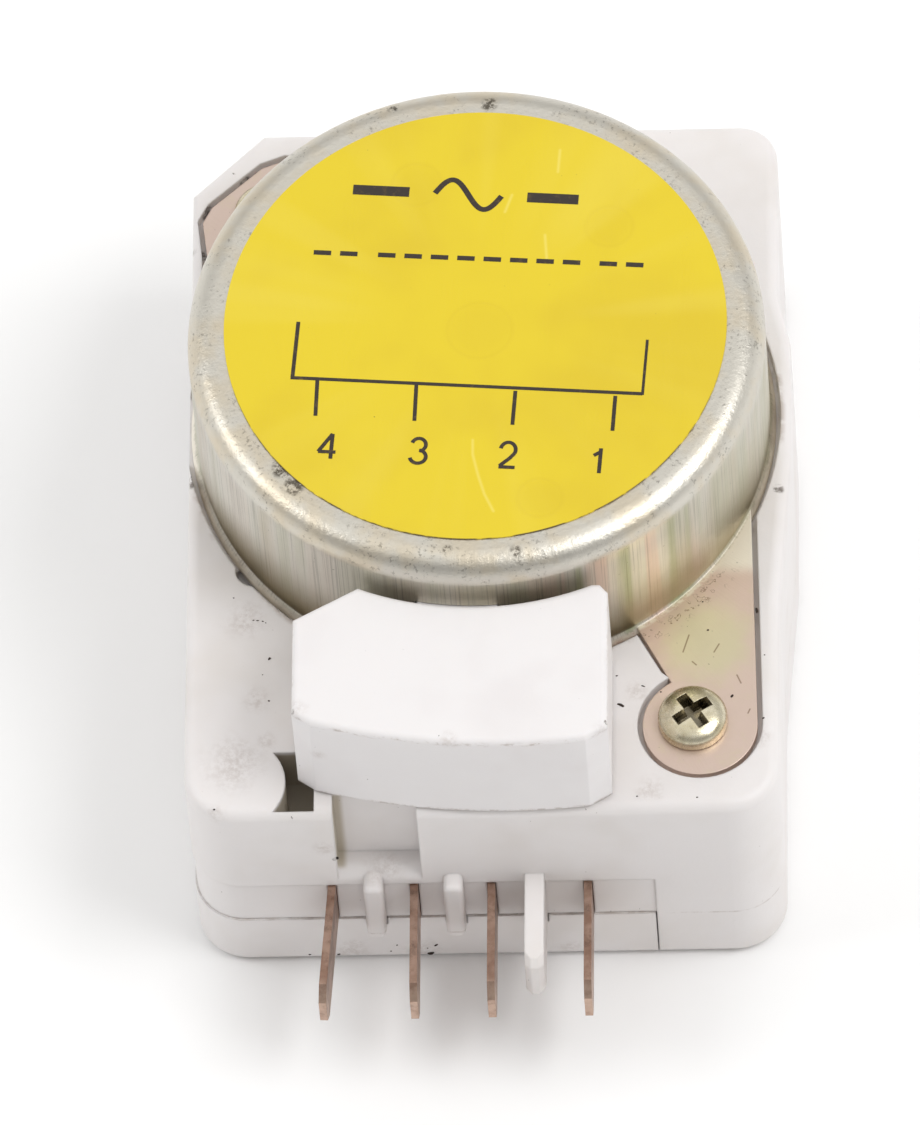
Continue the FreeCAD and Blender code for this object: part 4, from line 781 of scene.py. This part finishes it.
def spin(degrees: float) -> np.ndarray:
    """The matrix that turns flat points, as rows, by an angle: [[cos, sin], [-sin, cos]]."""
    turn = math.radians(degrees)
    return np.array([[math.cos(turn), math.sin(turn)], [-math.sin(turn), math.cos(turn)]])


def straight(start: Sequence[float], end: Sequence[float], steps: int = 4) -> np.ndarray:
    """Points spread evenly on the line from start to end."""
    share = np.linspace(0.0, 1.0, steps)[:, None]
    return np.asarray(start)[None, :] * (1 - share) + np.asarray(end)[None, :] * share


def arc(centre: Sequence[float], radii: Sequence[float], start: float, end: float, steps: int = 18) -> np.ndarray:
    """Points on an ellipse arc: centre plus the radii times cosine and sine of the angle, in degrees."""
    angle = np.radians(np.linspace(start, end, steps))
    return np.column_stack((centre[0] + radii[0] * np.cos(angle), centre[1] + radii[1] * np.sin(angle)))


@dataclass
class LabelPrint:
    """The plain print on the label: a switch diagram, its tab numbers, and bars where a maker puts words."""

    level: float = LABEL_TOP + 0.012
    line: float = 0.30
    digit_line: float = 0.30
    digit_height: float = 2.25
    digit_width: float = 1.35
    slope: float = -4.4
    frame_lines: tuple[tuple[float, float, float, float, float], ...] = (
        (-13.70, 0.53, -14.11, -4.57, 0.30),
        (-14.25, -4.55, 12.96, -6.64, 0.30),
        (13.34, -1.73, 12.96, -6.74, 0.22),
        (-12.17, -4.80, -12.29, -8.07, 0.30),
        (-4.51, -5.43, -4.64, -8.70, 0.30),
        (3.15, -6.15, 2.93, -9.23, 0.30),
        (10.87, -6.78, 10.65, -9.95, 0.30),
    )
    digits: tuple[tuple[str, float, float], ...] = (
        ("4", -11.34, -10.84), ("3", -4.26, -11.43), ("2", 2.61, -11.94), ("1", 9.53, -12.63),
    )
    layer: float = 0.004
    wave_place: tuple[float, float] = (-0.6, 11.9)
    wave_size: tuple[float, float] = (2.6, 1.3)
    wave_bars: tuple[tuple[float, float], ...] = ((-9.0, -4.6), (4.6, 8.6))
    dash_groups: tuple[tuple[float, int], ...] = ((-12.6, 2), (-7.6, 4), (0.6, 4), (9.6, 2))
    dash_pitch: float = 2.05
    dash_half: float = 0.68
    parts: list[tuple[np.ndarray, np.ndarray]] = field(default_factory=list)

    def turned(self, path: np.ndarray, x: float, y: float) -> np.ndarray:
        """Turns a path by the print's slope about its own origin, then moves it to x, y on the label."""
        return path @ spin(self.slope) + [x + MOTOR_AXIS[0], y + MOTOR_AXIS[1]]

    def strokes(self, digit: str) -> list[np.ndarray]:
        """The pen strokes of one number, from 0 to 1 in width and height."""
        if digit == "4":
            slant = straight((0.74, 1.0), (0.0, 0.27))
            return [straight((0.74, 0.0), (0.74, 1.0)), slant, straight((0.0, 0.27), (1.0, 0.27))]
        if digit == "3":
            upper = arc((0.46, 0.745), (0.40, 0.255), 165.0, -82.0)
            return [upper, arc((0.46, 0.265), (0.46, 0.265), 84.0, -168.0)]
        if digit == "2":
            bow = arc((0.48, 0.70), (0.43, 0.30), 172.0, -28.0)
            foot = np.vstack((bow[-1:], straight((0.60, 0.36), (0.06, 0.04), 5)))
            return [bow, foot, straight((0.02, 0.0), (0.94, 0.0))]
        return [straight((0.62, 0.0), (0.62, 1.0)), straight((0.62, 0.86), (0.24, 0.70))]

    def build(self, material: bpy.types.Material) -> bpy.types.Object:
        """Draws all the marks as one flat mesh just above the label.

        Args:
            material: The ink.

        Returns:
            The print.
        """
        for order, (x0, y0, x1, y1, width) in enumerate(self.frame_lines):
            path = straight((x0, y0), (x1, y1)) + MOTOR_AXIS
            self.parts.append(ribbon(path, width, self.level + self.layer * (order != 1)))
        size = np.array([self.digit_width, self.digit_height])
        for digit, x, y in self.digits:
            for order, stroke in enumerate(self.strokes(digit), start=1):
                path = self.turned((stroke - 0.5) * size, x, y)
                self.parts.append(ribbon(path, self.digit_line, self.level + self.layer * order))
        self.wave()
        self.dashes()
        points, faces = join_parts(self.parts)
        return new_piece("label_print", points, faces, material)

    def wave(self) -> None:
        """The upper row: one period of a sine wave, height = size * sin(angle), between two plain bars."""
        turn = np.linspace(0.0, 2 * math.pi, 40)
        half, height = self.wave_size
        wave = np.column_stack(((turn / math.pi - 1.0) * half, height * np.sin(turn)))
        self.parts.append(ribbon(self.turned(wave, *self.wave_place), 0.45, self.level))
        for start, end in self.wave_bars:
            bar = straight((start, 0.0), (end, 0.0), 8)
            self.parts.append(ribbon(self.turned(bar, *self.wave_place), 0.9, self.level))

    def dashes(self) -> None:
        """The lower row: short dashes in four groups, each dash a little lower than the one before it."""
        bar = straight((-self.dash_half, 0.0), (self.dash_half, 0.0))
        for start, count in self.dash_groups:
            for k in range(count):
                centre = start + self.dash_pitch * k + 0.7
                drop = 6.03 - 0.0692 * (centre + 0.35)
                self.parts.append(ribbon(self.turned(bar, centre, drop), 0.42, self.level))


@dataclass
class Screw:
    """A pan-head screw with a cross recess, turned about its own axis."""

    name: str
    x: float
    y: float
    turn: float
    seat: float = 21.95
    head_radius: float = 2.7
    head_height: float = 1.7
    rim_height: float = 0.55
    dome_power: float = 0.62
    shank_radius: float = 1.5
    shank_bottom: float = 12.6
    thread_pitch: float = 0.8
    slot_half: float = 0.47
    slot_reach: float = 1.62
    slot_depth: float = 1.15

    def profile(self) -> np.ndarray:
        """The half section: threaded shank from its tip up, the head's flat underside, its rim and its dome."""
        turns = np.arange(self.shank_bottom + 0.4, self.seat - 0.6, self.thread_pitch / 2)
        ridge = self.shank_radius - 0.05 - 0.22 * (np.arange(len(turns)) % 2)
        shank = np.column_stack((ridge, turns))
        angle = np.radians(np.linspace(0.0, 90.0, 14))
        dome = np.column_stack((
            self.head_radius * np.abs(np.cos(angle)) ** self.dome_power,
            self.seat + self.rim_height + (self.head_height - self.rim_height) * np.sin(angle),
        ))
        dome[-1, 0] = 0.0
        tip = [[0.0, self.shank_bottom], [0.5, self.shank_bottom]]
        neck = self.shank_radius - 0.05
        collar = [
            [neck, self.seat - 0.4], [neck, self.seat],
            [self.head_radius - 0.12, self.seat], [self.head_radius, self.seat + 0.12],
        ]
        return np.vstack((tip, shank, collar, dome))

    def build(self, material: bpy.types.Material) -> bpy.types.Object:
        """Turns the profile round and cuts the cross with a tapered cutter.

        Args:
            material: The screw's steel.

        Returns:
            The finished screw.
        """
        section = self.profile()
        around = 72
        angle = np.linspace(0.0, 2 * math.pi, around, endpoint=False)
        inner = section[1:-1]
        rows = len(inner)
        points = np.column_stack((
            np.outer(inner[:, 0], np.cos(angle)).ravel(), np.outer(inner[:, 0], np.sin(angle)).ravel(),
            np.repeat(inner[:, 1], around),
        ))
        points = np.vstack((points, [[0, 0, section[0, 1]], [0, 0, section[-1, 1]]])) + [self.x, self.y, 0.0]
        row, k = np.meshgrid(np.arange(rows - 1) * around, np.arange(around), indexing="ij")
        after = (k + 1) % around
        quads = np.stack((row + k, row + after, row + around + after, row + around + k), -1)
        faces = quads.reshape(-1, 4).tolist()
        k, after = k[0], after[0]
        bottom, last = rows * around, (rows - 1) * around
        faces += np.column_stack((after, k, np.full(around, bottom))).tolist()
        faces += np.column_stack((last + k, last + after, np.full(around, bottom + 1))).tolist()
        piece = new_piece(self.name, points, faces, material, smooth=True)
        self.cut_cross(piece, material)
        return piece

    def cut_cross(self, piece: bpy.types.Object, material: bpy.types.Material) -> None:
        """Takes a plus-shaped, downward-tapering recess out of the head.

        Args:
            piece: The screw.
            material: The finish of the recess's walls.
        """
        s, r = self.slot_half, self.slot_reach
        plan = np.array([
            (s, s), (r, s), (r, -s), (s, -s), (s, -r), (-s, -r),
            (-s, -s), (-r, -s), (-r, s), (-s, s), (-s, r), (s, r),
        ])[::-1]
        top = self.seat + self.head_height
        layers = []
        for level, shrink in ((top - self.slot_depth, 0.62), (top - 0.25, 0.97), (top + 0.6, 1.12)):
            flat = (plan * shrink) @ spin(self.turn) + [self.x, self.y]
            layers.append(np.column_stack((flat, np.full(12, level))))
        points = np.vstack(layers)
        k = np.arange(12)
        nxt = (k + 1) % 12
        sides = [np.column_stack((k + a, nxt + a, nxt + a + 12, k + a + 12)) for a in (0, 12)]
        faces = np.vstack(sides).tolist() + [list(range(12))[::-1], list(range(24, 36))]
        cutter = new_piece(f"{self.name}_cutter", points, faces, material)
        work = bmesh.new()
        work.from_mesh(cutter.data)
        bmesh.ops.recalc_face_normals(work, faces=work.faces)
        work.to_mesh(cutter.data)
        work.free()
        cut = piece.modifiers.new("cross", "BOOLEAN")
        cut.operation = "DIFFERENCE"
        cut.object = cutter
        cut.solver = "EXACT"
        bpy.context.view_layer.update()
        shaped = bpy.data.meshes.new_from_object(piece.evaluated_get(bpy.context.evaluated_depsgraph_get()))
        piece.modifiers.clear()
        piece.data = shaped
        bpy.data.objects.remove(cutter)
        sharpen(piece, 38.0)


def sharpen(piece: bpy.types.Object, angle: float) -> None:
    """Shades a piece smooth and keeps every edge sharper than the angle crisp.

    Args:
        piece: The piece.
        angle: The limit in degrees.
    """
    work = bmesh.new()
    work.from_mesh(piece.data)
    limit = math.radians(angle)
    for face in work.faces:
        face.smooth = True
    for edge in work.edges:
        edge.smooth = not (len(edge.link_faces) == 2 and edge.calc_face_angle(0.0) > limit)
    work.to_mesh(piece.data)
    work.free()


@dataclass
class LooseDirt:
    """Dark crumbs and threads of dirt on the deck, the front ear and the front wall.

    Each crumb is (across, along, length, width, turn); on the wall, along is the height.
    """

    deck_flakes: Flakes = (
        (10.75, -21.88, 0.68, 0.26, -30.0), (12.49, -20.21, 0.40, 0.13, -20.0),
        (10.45, -19.25, 0.20, 0.14, 20.0), (21.3, -13.53, 0.60, 0.24, 100.0),
        (21.9, -17.6, 0.18, 0.12, 30.0), (21.8, -23.29, 0.22, 0.16, 30.0), (16.66, -30.3, 0.20, 0.15, 0.0),
        (12.04, -30.1, 0.18, 0.13, 0.0), (-17.75, -13.61, 0.22, 0.10, 20.0),
        (-17.42, -13.64, 0.24, 0.11, 0.0), (-17.03, -13.72, 0.20, 0.12, -30.0),
        (-16.80, -13.86, 0.14, 0.10, 0.0), (-16.47, -17.10, 0.32, 0.24, 50.0),
        (-16.47, -20.92, 0.20, 0.15, 0.0), (-19.32, -11.55, 0.15, 0.12, 0.0),
        (-16.98, -18.56, 0.12, 0.10, 0.0), (-20.58, -30.6, 0.22, 0.14, 0.0),
    )
    ear_flakes: Flakes = (
        (19.36, -21.17, 0.32, 0.22, 60.0), (17.51, -15.17, 0.22, 0.17, 0.0),
        (13.87, -20.69, 0.18, 0.14, 0.0), (17.1, -12.6, 0.18, 0.13, 0.0),
    )
    wall_flakes: Flakes = (
        (-4.86, 0.72, 0.62, 0.34, 10.0), (-4.41, 1.95, 0.44, 0.18, 40.0), (-5.1, 1.5, 0.16, 0.12, 0.0),
        (-7.45, 2.06, 0.20, 0.14, 60.0), (-7.97, 1.14, 0.18, 0.12, 0.0), (-14.33, 0.85, 0.26, 0.16, 0.0),
        (-12.06, 0.80, 0.28, 0.18, 20.0), (-11.40, 15.59, 0.22, 0.40, 0.0),
    )
    sides: int = 8

    def build(self, material: bpy.types.Material) -> bpy.types.Object:
        """Makes each crumb a low eight-sided mound: a ring on the surface and a raised ring within it.

        Args:
            material: The dirt's finish.

        Returns:
            All the crumbs as one piece.
        """
        rng = np.random.default_rng(7)
        parts = []
        n = self.sides
        angle = np.linspace(0.0, 2 * math.pi, n + 1)[:-1]
        k = np.arange(n)
        after = (k + 1) % n
        skirt = np.column_stack((k, after, after + n, k + n))
        lid = np.column_stack((k + n, after + n, np.full(n, 2 * n), np.full(n, 2 * n)))
        groups = ((self.deck_flakes, DECK_TOP), (self.ear_flakes, EAR_TOP), (self.wall_flakes, WALL_FACE))
        flakes = [(*flake, face) for group, face in groups for flake in group]
        for across, along, length, width, turn, face in flakes:
            wobble = rng.uniform(0.75, 1.2, n)
            ring = np.column_stack((np.cos(angle) * length / 2 * wobble, np.sin(angle) * width / 2 * wobble))
            rise = min(length, width)
            low = ring @ spin(turn) + [across, along]
            high = ring * 0.55 @ spin(turn) + [across, along]
            points = np.vstack((
                np.column_stack((low, np.full(n, -0.01))),
                np.column_stack((high, np.full(n, rise * 0.35))),
                [[across, along, rise * 0.4]],
            ))
            if face == WALL_FACE:
                points = np.column_stack((points[:, 0], face - points[:, 2], points[:, 1]))
            else:
                points[:, 2] += face
            parts.append((points, np.vstack((skirt, lid))))
        points, all_faces = join_parts(parts)
        trimmed = [face[:3] if face[2] == face[3] else face for face in all_faces]
        return new_piece("loose_dirt", points, trimmed, material, smooth=True)


@dataclass
class Housing:
    """The moulded case, its tray, the lead cover and the tabs."""

    def dress(self, nodes: dict[str, bpy.types.Object]) -> None:
        """Gives each outer node its finish.

        Args:
            nodes: The frame's nodes by name.
        """
        case = WhitePlastic(
            "case_plastic", seam=True, seat=True, pocket=True,
            smudges=(
                (-19.0, -26.6, DECK_TOP, 3.4), (-17.4, -20.8, DECK_TOP, 1.6), (-18.4, -13.6, DECK_TOP, 2.4),
                (-16.6, -24.6, DECK_TOP, 1.3), (-12.3, WALL_FACE, 17.0, 1.4), (13.0, -29.5, DECK_TOP, 1.6),
                (21.5, -25.0, 21.9, 1.4), (-22.6, 12.0, 21.8, 1.5), (12.0, -20.6, DECK_TOP, 1.4),
                (-20.6, -30.8, 21.6, 1.2), (-8.0, -31.0, 13.4, 2.4),
            ),
            stains=(
                (-21.9, 24.5, 21.4, 1.0), (-22.3, 20.5, 21.4, 0.9), (-19.0, 27.3, 21.4, 0.8),
                (-22.7, -0.8, 21.9, 0.9), (23.0, -2.5, 21.9, 0.6), (-11.6, WALL_FACE, 15.4, 0.35),
            ),
        )
        tray = WhitePlastic(
            "tray_plastic", seam=True,
            smudges=((-11.0, WALL_FACE, 1.5, 2.2), (-5.5, WALL_FACE, 1.0, 2.6), (6.0, WALL_FACE, 1.0, 1.6)),
        )
        hood = WhitePlastic(
            "hood_plastic", clean=srgb(230, 227, 227), shade=srgb(225, 221, 221), edge_level=32.2,
            smudges=(
                (-13.6, -27.9, 32.3, 1.2), (9.6, -30.2, 32.2, 0.9),
                (-2.0, -30.9, 32.3, 1.0), (-12.2, -29.2, 28.0, 0.9),
            ),
            stains=((-13.9, -28.1, 32.3, 0.35), (10.0, -29.6, 32.35, 0.3)),
        )
        tabs = BareMetal(
            "tab_metal", srgb(180, 152, 136), srgb(152, 122, 106), srgb(90, 72, 64), rough=0.42, stained=0.5,
            streaks=Streaks.ALONG_Y, bright_end=-40.6, grain=1.2,
        )
        dress(nodes, case, "upper_case")
        dress(nodes, tray, "base_cover")
        dress(nodes, hood, "lead_cover")
        dress(nodes, tabs, *(f"terminal_{number}" for number in "1234"))


@dataclass
class Motor:
    """The motor's can and label and everything inside it."""

    def dress(self, nodes: dict[str, bpy.types.Object]) -> None:
        """Gives each of the motor's nodes its finish.

        Args:
            nodes: The frame's nodes by name.
        """
        can = CanSteel("can_steel", smudges=(
            (-14.9, -8.6, 36.1, 1.1), (-13.9, -10.1, 36.0, 1.2), (-6.5, 24.5, 36.0, 0.7), (1.0, 24.6, 36.0, 0.9),
            (3.2, -16.2, 35.9, 0.8), (-2.0, -16.0, 36.1, 0.6),
        ))
        steel = BareMetal("plate_steel", srgb(170, 171, 173), srgb(150, 151, 154), srgb(112, 104, 92), stained=0.25)
        pins = BareMetal(
            "pin_steel", srgb(198, 199, 201), srgb(180, 181, 184), srgb(130, 128, 124), rough=0.22,
            stained=0.15, streaks=Streaks.UPRIGHT,
        )
        bobbin = PlainMoulding("bobbin_nylon", srgb(222, 214, 190), srgb(208, 198, 170))
        copper = PlainMoulding(
            "winding_wire", srgb(178, 92, 48), srgb(112, 50, 24), rough=0.3, depth=0.05, turns=31.0,
        )
        ferrite = PlainMoulding("magnet_ferrite", srgb(62, 62, 66), srgb(44, 44, 48), 0.55)
        nylon = PlainMoulding("gear_nylon", srgb(232, 226, 206), srgb(220, 212, 188), 0.4)
        dress(nodes, can, "motor_can")
        dress(nodes, YellowFilm("label_film"), "label_disc")
        dress(nodes, steel, "motor_base_plate", "upper_pole_plate", "lower_pole_plate")
        dress(nodes, pins, "rotor_pin", "gear_pins")
        dress(nodes, bobbin, "coil_bobbin")
        dress(nodes, copper, "coil_winding")
        dress(nodes, ferrite, "rotor_magnet")
        dress(nodes, nylon, "rotor_hub", "first_gear", "second_gear", "output_gear", "idler_gear", "cam_gear")


@dataclass
class Switch:
    """The cam and the leaf contacts."""

    def dress(self, nodes: dict[str, bpy.types.Object]) -> None:
        """Gives the cam, the leaves, their rivets and the coil leads their finishes.

        Args:
            nodes: The frame's nodes by name.
        """
        acetal = PlainMoulding("cam_acetal", srgb(214, 208, 194), srgb(200, 194, 178), 0.36)
        washer = BareMetal(
            "washer_steel", srgb(186, 187, 189), srgb(164, 165, 168), srgb(120, 116, 108), rough=0.3,
            stained=0.2, streaks=Streaks.ROUND, axis=(9.8, 5.7),
        )
        bronze = BareMetal(
            "leaf_bronze", srgb(206, 158, 98), srgb(184, 132, 76), srgb(120, 84, 52), rough=0.3,
            stained=0.3, streaks=Streaks.ALONG_Y,
        )
        silver = BareMetal(
            "contact_silver", srgb(214, 214, 216), srgb(196, 196, 200), srgb(140, 136, 130),
            rough=0.25, stained=0.25,
        )
        sleeve = PlainMoulding("lead_sleeve", srgb(222, 208, 172), srgb(206, 190, 152), 0.5)
        dress(nodes, acetal, "cam_drum")
        dress(nodes, washer, "clutch_washer")
        dress(nodes, bronze, *(f"contact_blade_{number}" for number in "234"))
        dress(nodes, silver, *(f"blade_contact_{number}" for number in "234"))
        dress(nodes, sleeve, "lead_wire_1", "lead_wire_3")


class Finish(Protocol):
    """A finish that can make its material."""

    name: str

    def build(self) -> bpy.types.Material:
        """Makes the material."""


def dress(nodes: dict[str, bpy.types.Object], finish: Finish, *names: str) -> None:
    """Puts one finish on all the material slots of the named nodes.

    Args:
        nodes: The frame's nodes by name.
        finish: The finish.
        names: The nodes that it goes on.
    """
    material = finish.build()
    for name in names:
        node = nodes[name]
        if not node.material_slots:
            node.data.materials.append(material)
        for material_slot in node.material_slots:
            material_slot.material = material
        LOG.info("finished %s with %s", name, finish.name)


@dataclass
class Studio:
    """A pale floor, soft lights and the camera."""

    camera_place: tuple[float, float, float] = (0.057941, -0.733454, 1.207944)
    elevation: float = 58.482
    azimuth: float = 4.708
    roll: float = -5.096
    lens: float = 573.13
    floor_colour: Colour = (0.93, 0.93, 0.93)
    floor_half: float = 4000.0
    floor_level: float = -0.2
    sky: tuple[tuple[float, float], ...] = (
        (0.0, 0.95), (0.12, 0.90), (0.35, 0.52), (0.60, 0.50), (0.84, 0.92), (1.0, 0.98),
    )
    front_dim: tuple[tuple[str, float], ...] = (
        ("From Min", -0.6), ("From Max", 0.4), ("To Min", 0.74), ("To Max", 1.16),
    )

    def set_camera(self) -> None:
        """Places the camera: its back axis from azimuth and elevation, then the roll about that axis."""
        e, a, roll = (math.radians(v) for v in (self.elevation, self.azimuth, self.roll))
        back = Vector((math.sin(a) * math.cos(e), -math.cos(a) * math.cos(e), math.sin(e)))
        right = Vector((math.cos(a), math.sin(a), 0.0))
        up = back.cross(right)
        x_axis = right * math.cos(roll) + up * math.sin(roll)
        y_axis = -right * math.sin(roll) + up * math.cos(roll)
        turn = Matrix((x_axis, y_axis, back)).transposed().to_4x4()
        data = bpy.data.cameras.new("view")
        data.lens = self.lens
        data.sensor_width = 36.0
        data.clip_start = 0.05
        data.clip_end = 20.0
        camera = bpy.data.objects.new("view", data)
        camera.matrix_world = Matrix.Translation(self.camera_place) @ turn
        bpy.context.scene.collection.objects.link(camera)
        bpy.context.scene.camera = camera

    def set_world(self) -> None:
        """A soft surround: bright at the horizon and overhead, dimmer between them and towards the front."""
        world = bpy.data.worlds.new("surround")
        world.use_nodes = True
        tree = world.node_tree
        tree.nodes.clear()
        kinds = ("OutputWorld", "Background", "TexCoord", "SeparateXYZ", "ValToRGB", "MapRange")
        output, background, coordinates, axes, ramp, dim = (tree.nodes.new(f"ShaderNode{kind}") for kind in kinds)
        for position, _ in self.sky[1:-1]:
            ramp.color_ramp.elements.new(position)
        for element, (position, level) in zip(ramp.color_ramp.elements, self.sky):
            element.position = position
            element.color = (level, level * 0.995, level * 0.985, 1.0)
        for socket, value in self.front_dim:
            dim.inputs[socket].default_value = value
        for source, target in (
            (coordinates.outputs["Generated"], axes.inputs[0]), (axes.outputs[2], ramp.inputs[0]),
            (ramp.outputs[0], background.inputs[0]), (axes.outputs[1], dim.inputs["Value"]),
            (dim.outputs[0], background.inputs[1]), (background.outputs[0], output.inputs[0]),
        ):
            tree.links.new(source, target)
        bpy.context.scene.world = world

    def add_light(self, name: str, place: Sequence[float], side: float, watts: float) -> None:
        """Adds a square soft light that faces the part.

        Args:
            name: The light's name.
            place: Where it stands, in metres.
            side: Its side, in metres.
            watts: Its power.
        """
        data = bpy.data.lights.new(name, "AREA")
        data.size = side
        data.energy = watts
        light = bpy.data.objects.new(name, data)
        aim = Vector((0.0, 0.0, 0.02)) - Vector(place)
        light.matrix_world = Matrix.Translation(place) @ aim.to_track_quat("-Z", "Y").to_matrix().to_4x4()
        bpy.context.scene.collection.objects.link(light)

    def add_floor(self) -> None:
        """A large pale floor at the part's foot."""
        g = Graph("floor_paint")
        tone = g.blend(g.noise(0.01, 2.0), self.floor_colour, tuple(v * 0.985 for v in self.floor_colour))
        paint = g.finish(tone, 0.85, specular=0.2)
        half = self.floor_half
        plan = ((-half, -half), (half, -half), (half, half), (-half, half))
        corners = np.array([(x, y, self.floor_level) for x, y in plan])
        floor = new_piece("studio_floor", corners, [[0, 1, 2, 3]], paint)

    def build(self) -> None:
        """Sets up the whole studio."""
        self.set_camera()
        self.set_world()
        self.add_floor()
        self.add_light("right_box", (0.58, -0.14, 0.86), 0.56, 4.8)
        self.add_light("left_box", (-0.78, 0.02, 0.70), 0.46, 2.2)
        bpy.context.scene.view_settings.view_transform = "Standard"


def main(frame: dict) -> None:
    """Dresses the frame, adds the new pieces and sets up the studio.

    Args:
        frame: What the frame's loader returned.
    """
    logging.basicConfig(level=logging.INFO)
    nodes = frame["nodes"]
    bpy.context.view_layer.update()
    Studio().build()
    for assembly in (Housing(), Motor(), Switch()):
        assembly.dress(nodes)
    ink = Ink("label_ink").build()
    label_print = LabelPrint().build(ink)
    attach(label_print, "housing")
    screw_steel = BareMetal(
        "screw_steel", srgb(222, 214, 190), srgb(206, 196, 166), srgb(120, 108, 84), rough=0.26, stained=0.3,
        grain=1.4, recesses=tuple((x, y, RECESS_TOP, RECESS_REACH) for _, x, y, _ in SCREWS),
    ).build()
    for name, x, y, turn in SCREWS:
        screw = Screw(name, x, y, turn).build(screw_steel)
        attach(screw, "housing")
        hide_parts("motor_screws")
        LOG.info("made %s", name)
    dirt = LooseDirt().build(PlainMoulding("dirt", srgb(58, 44, 36), srgb(34, 26, 22), 0.8).build())
    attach(dirt, "housing")
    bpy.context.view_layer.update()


if __name__ == "__main__":
    main(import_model())
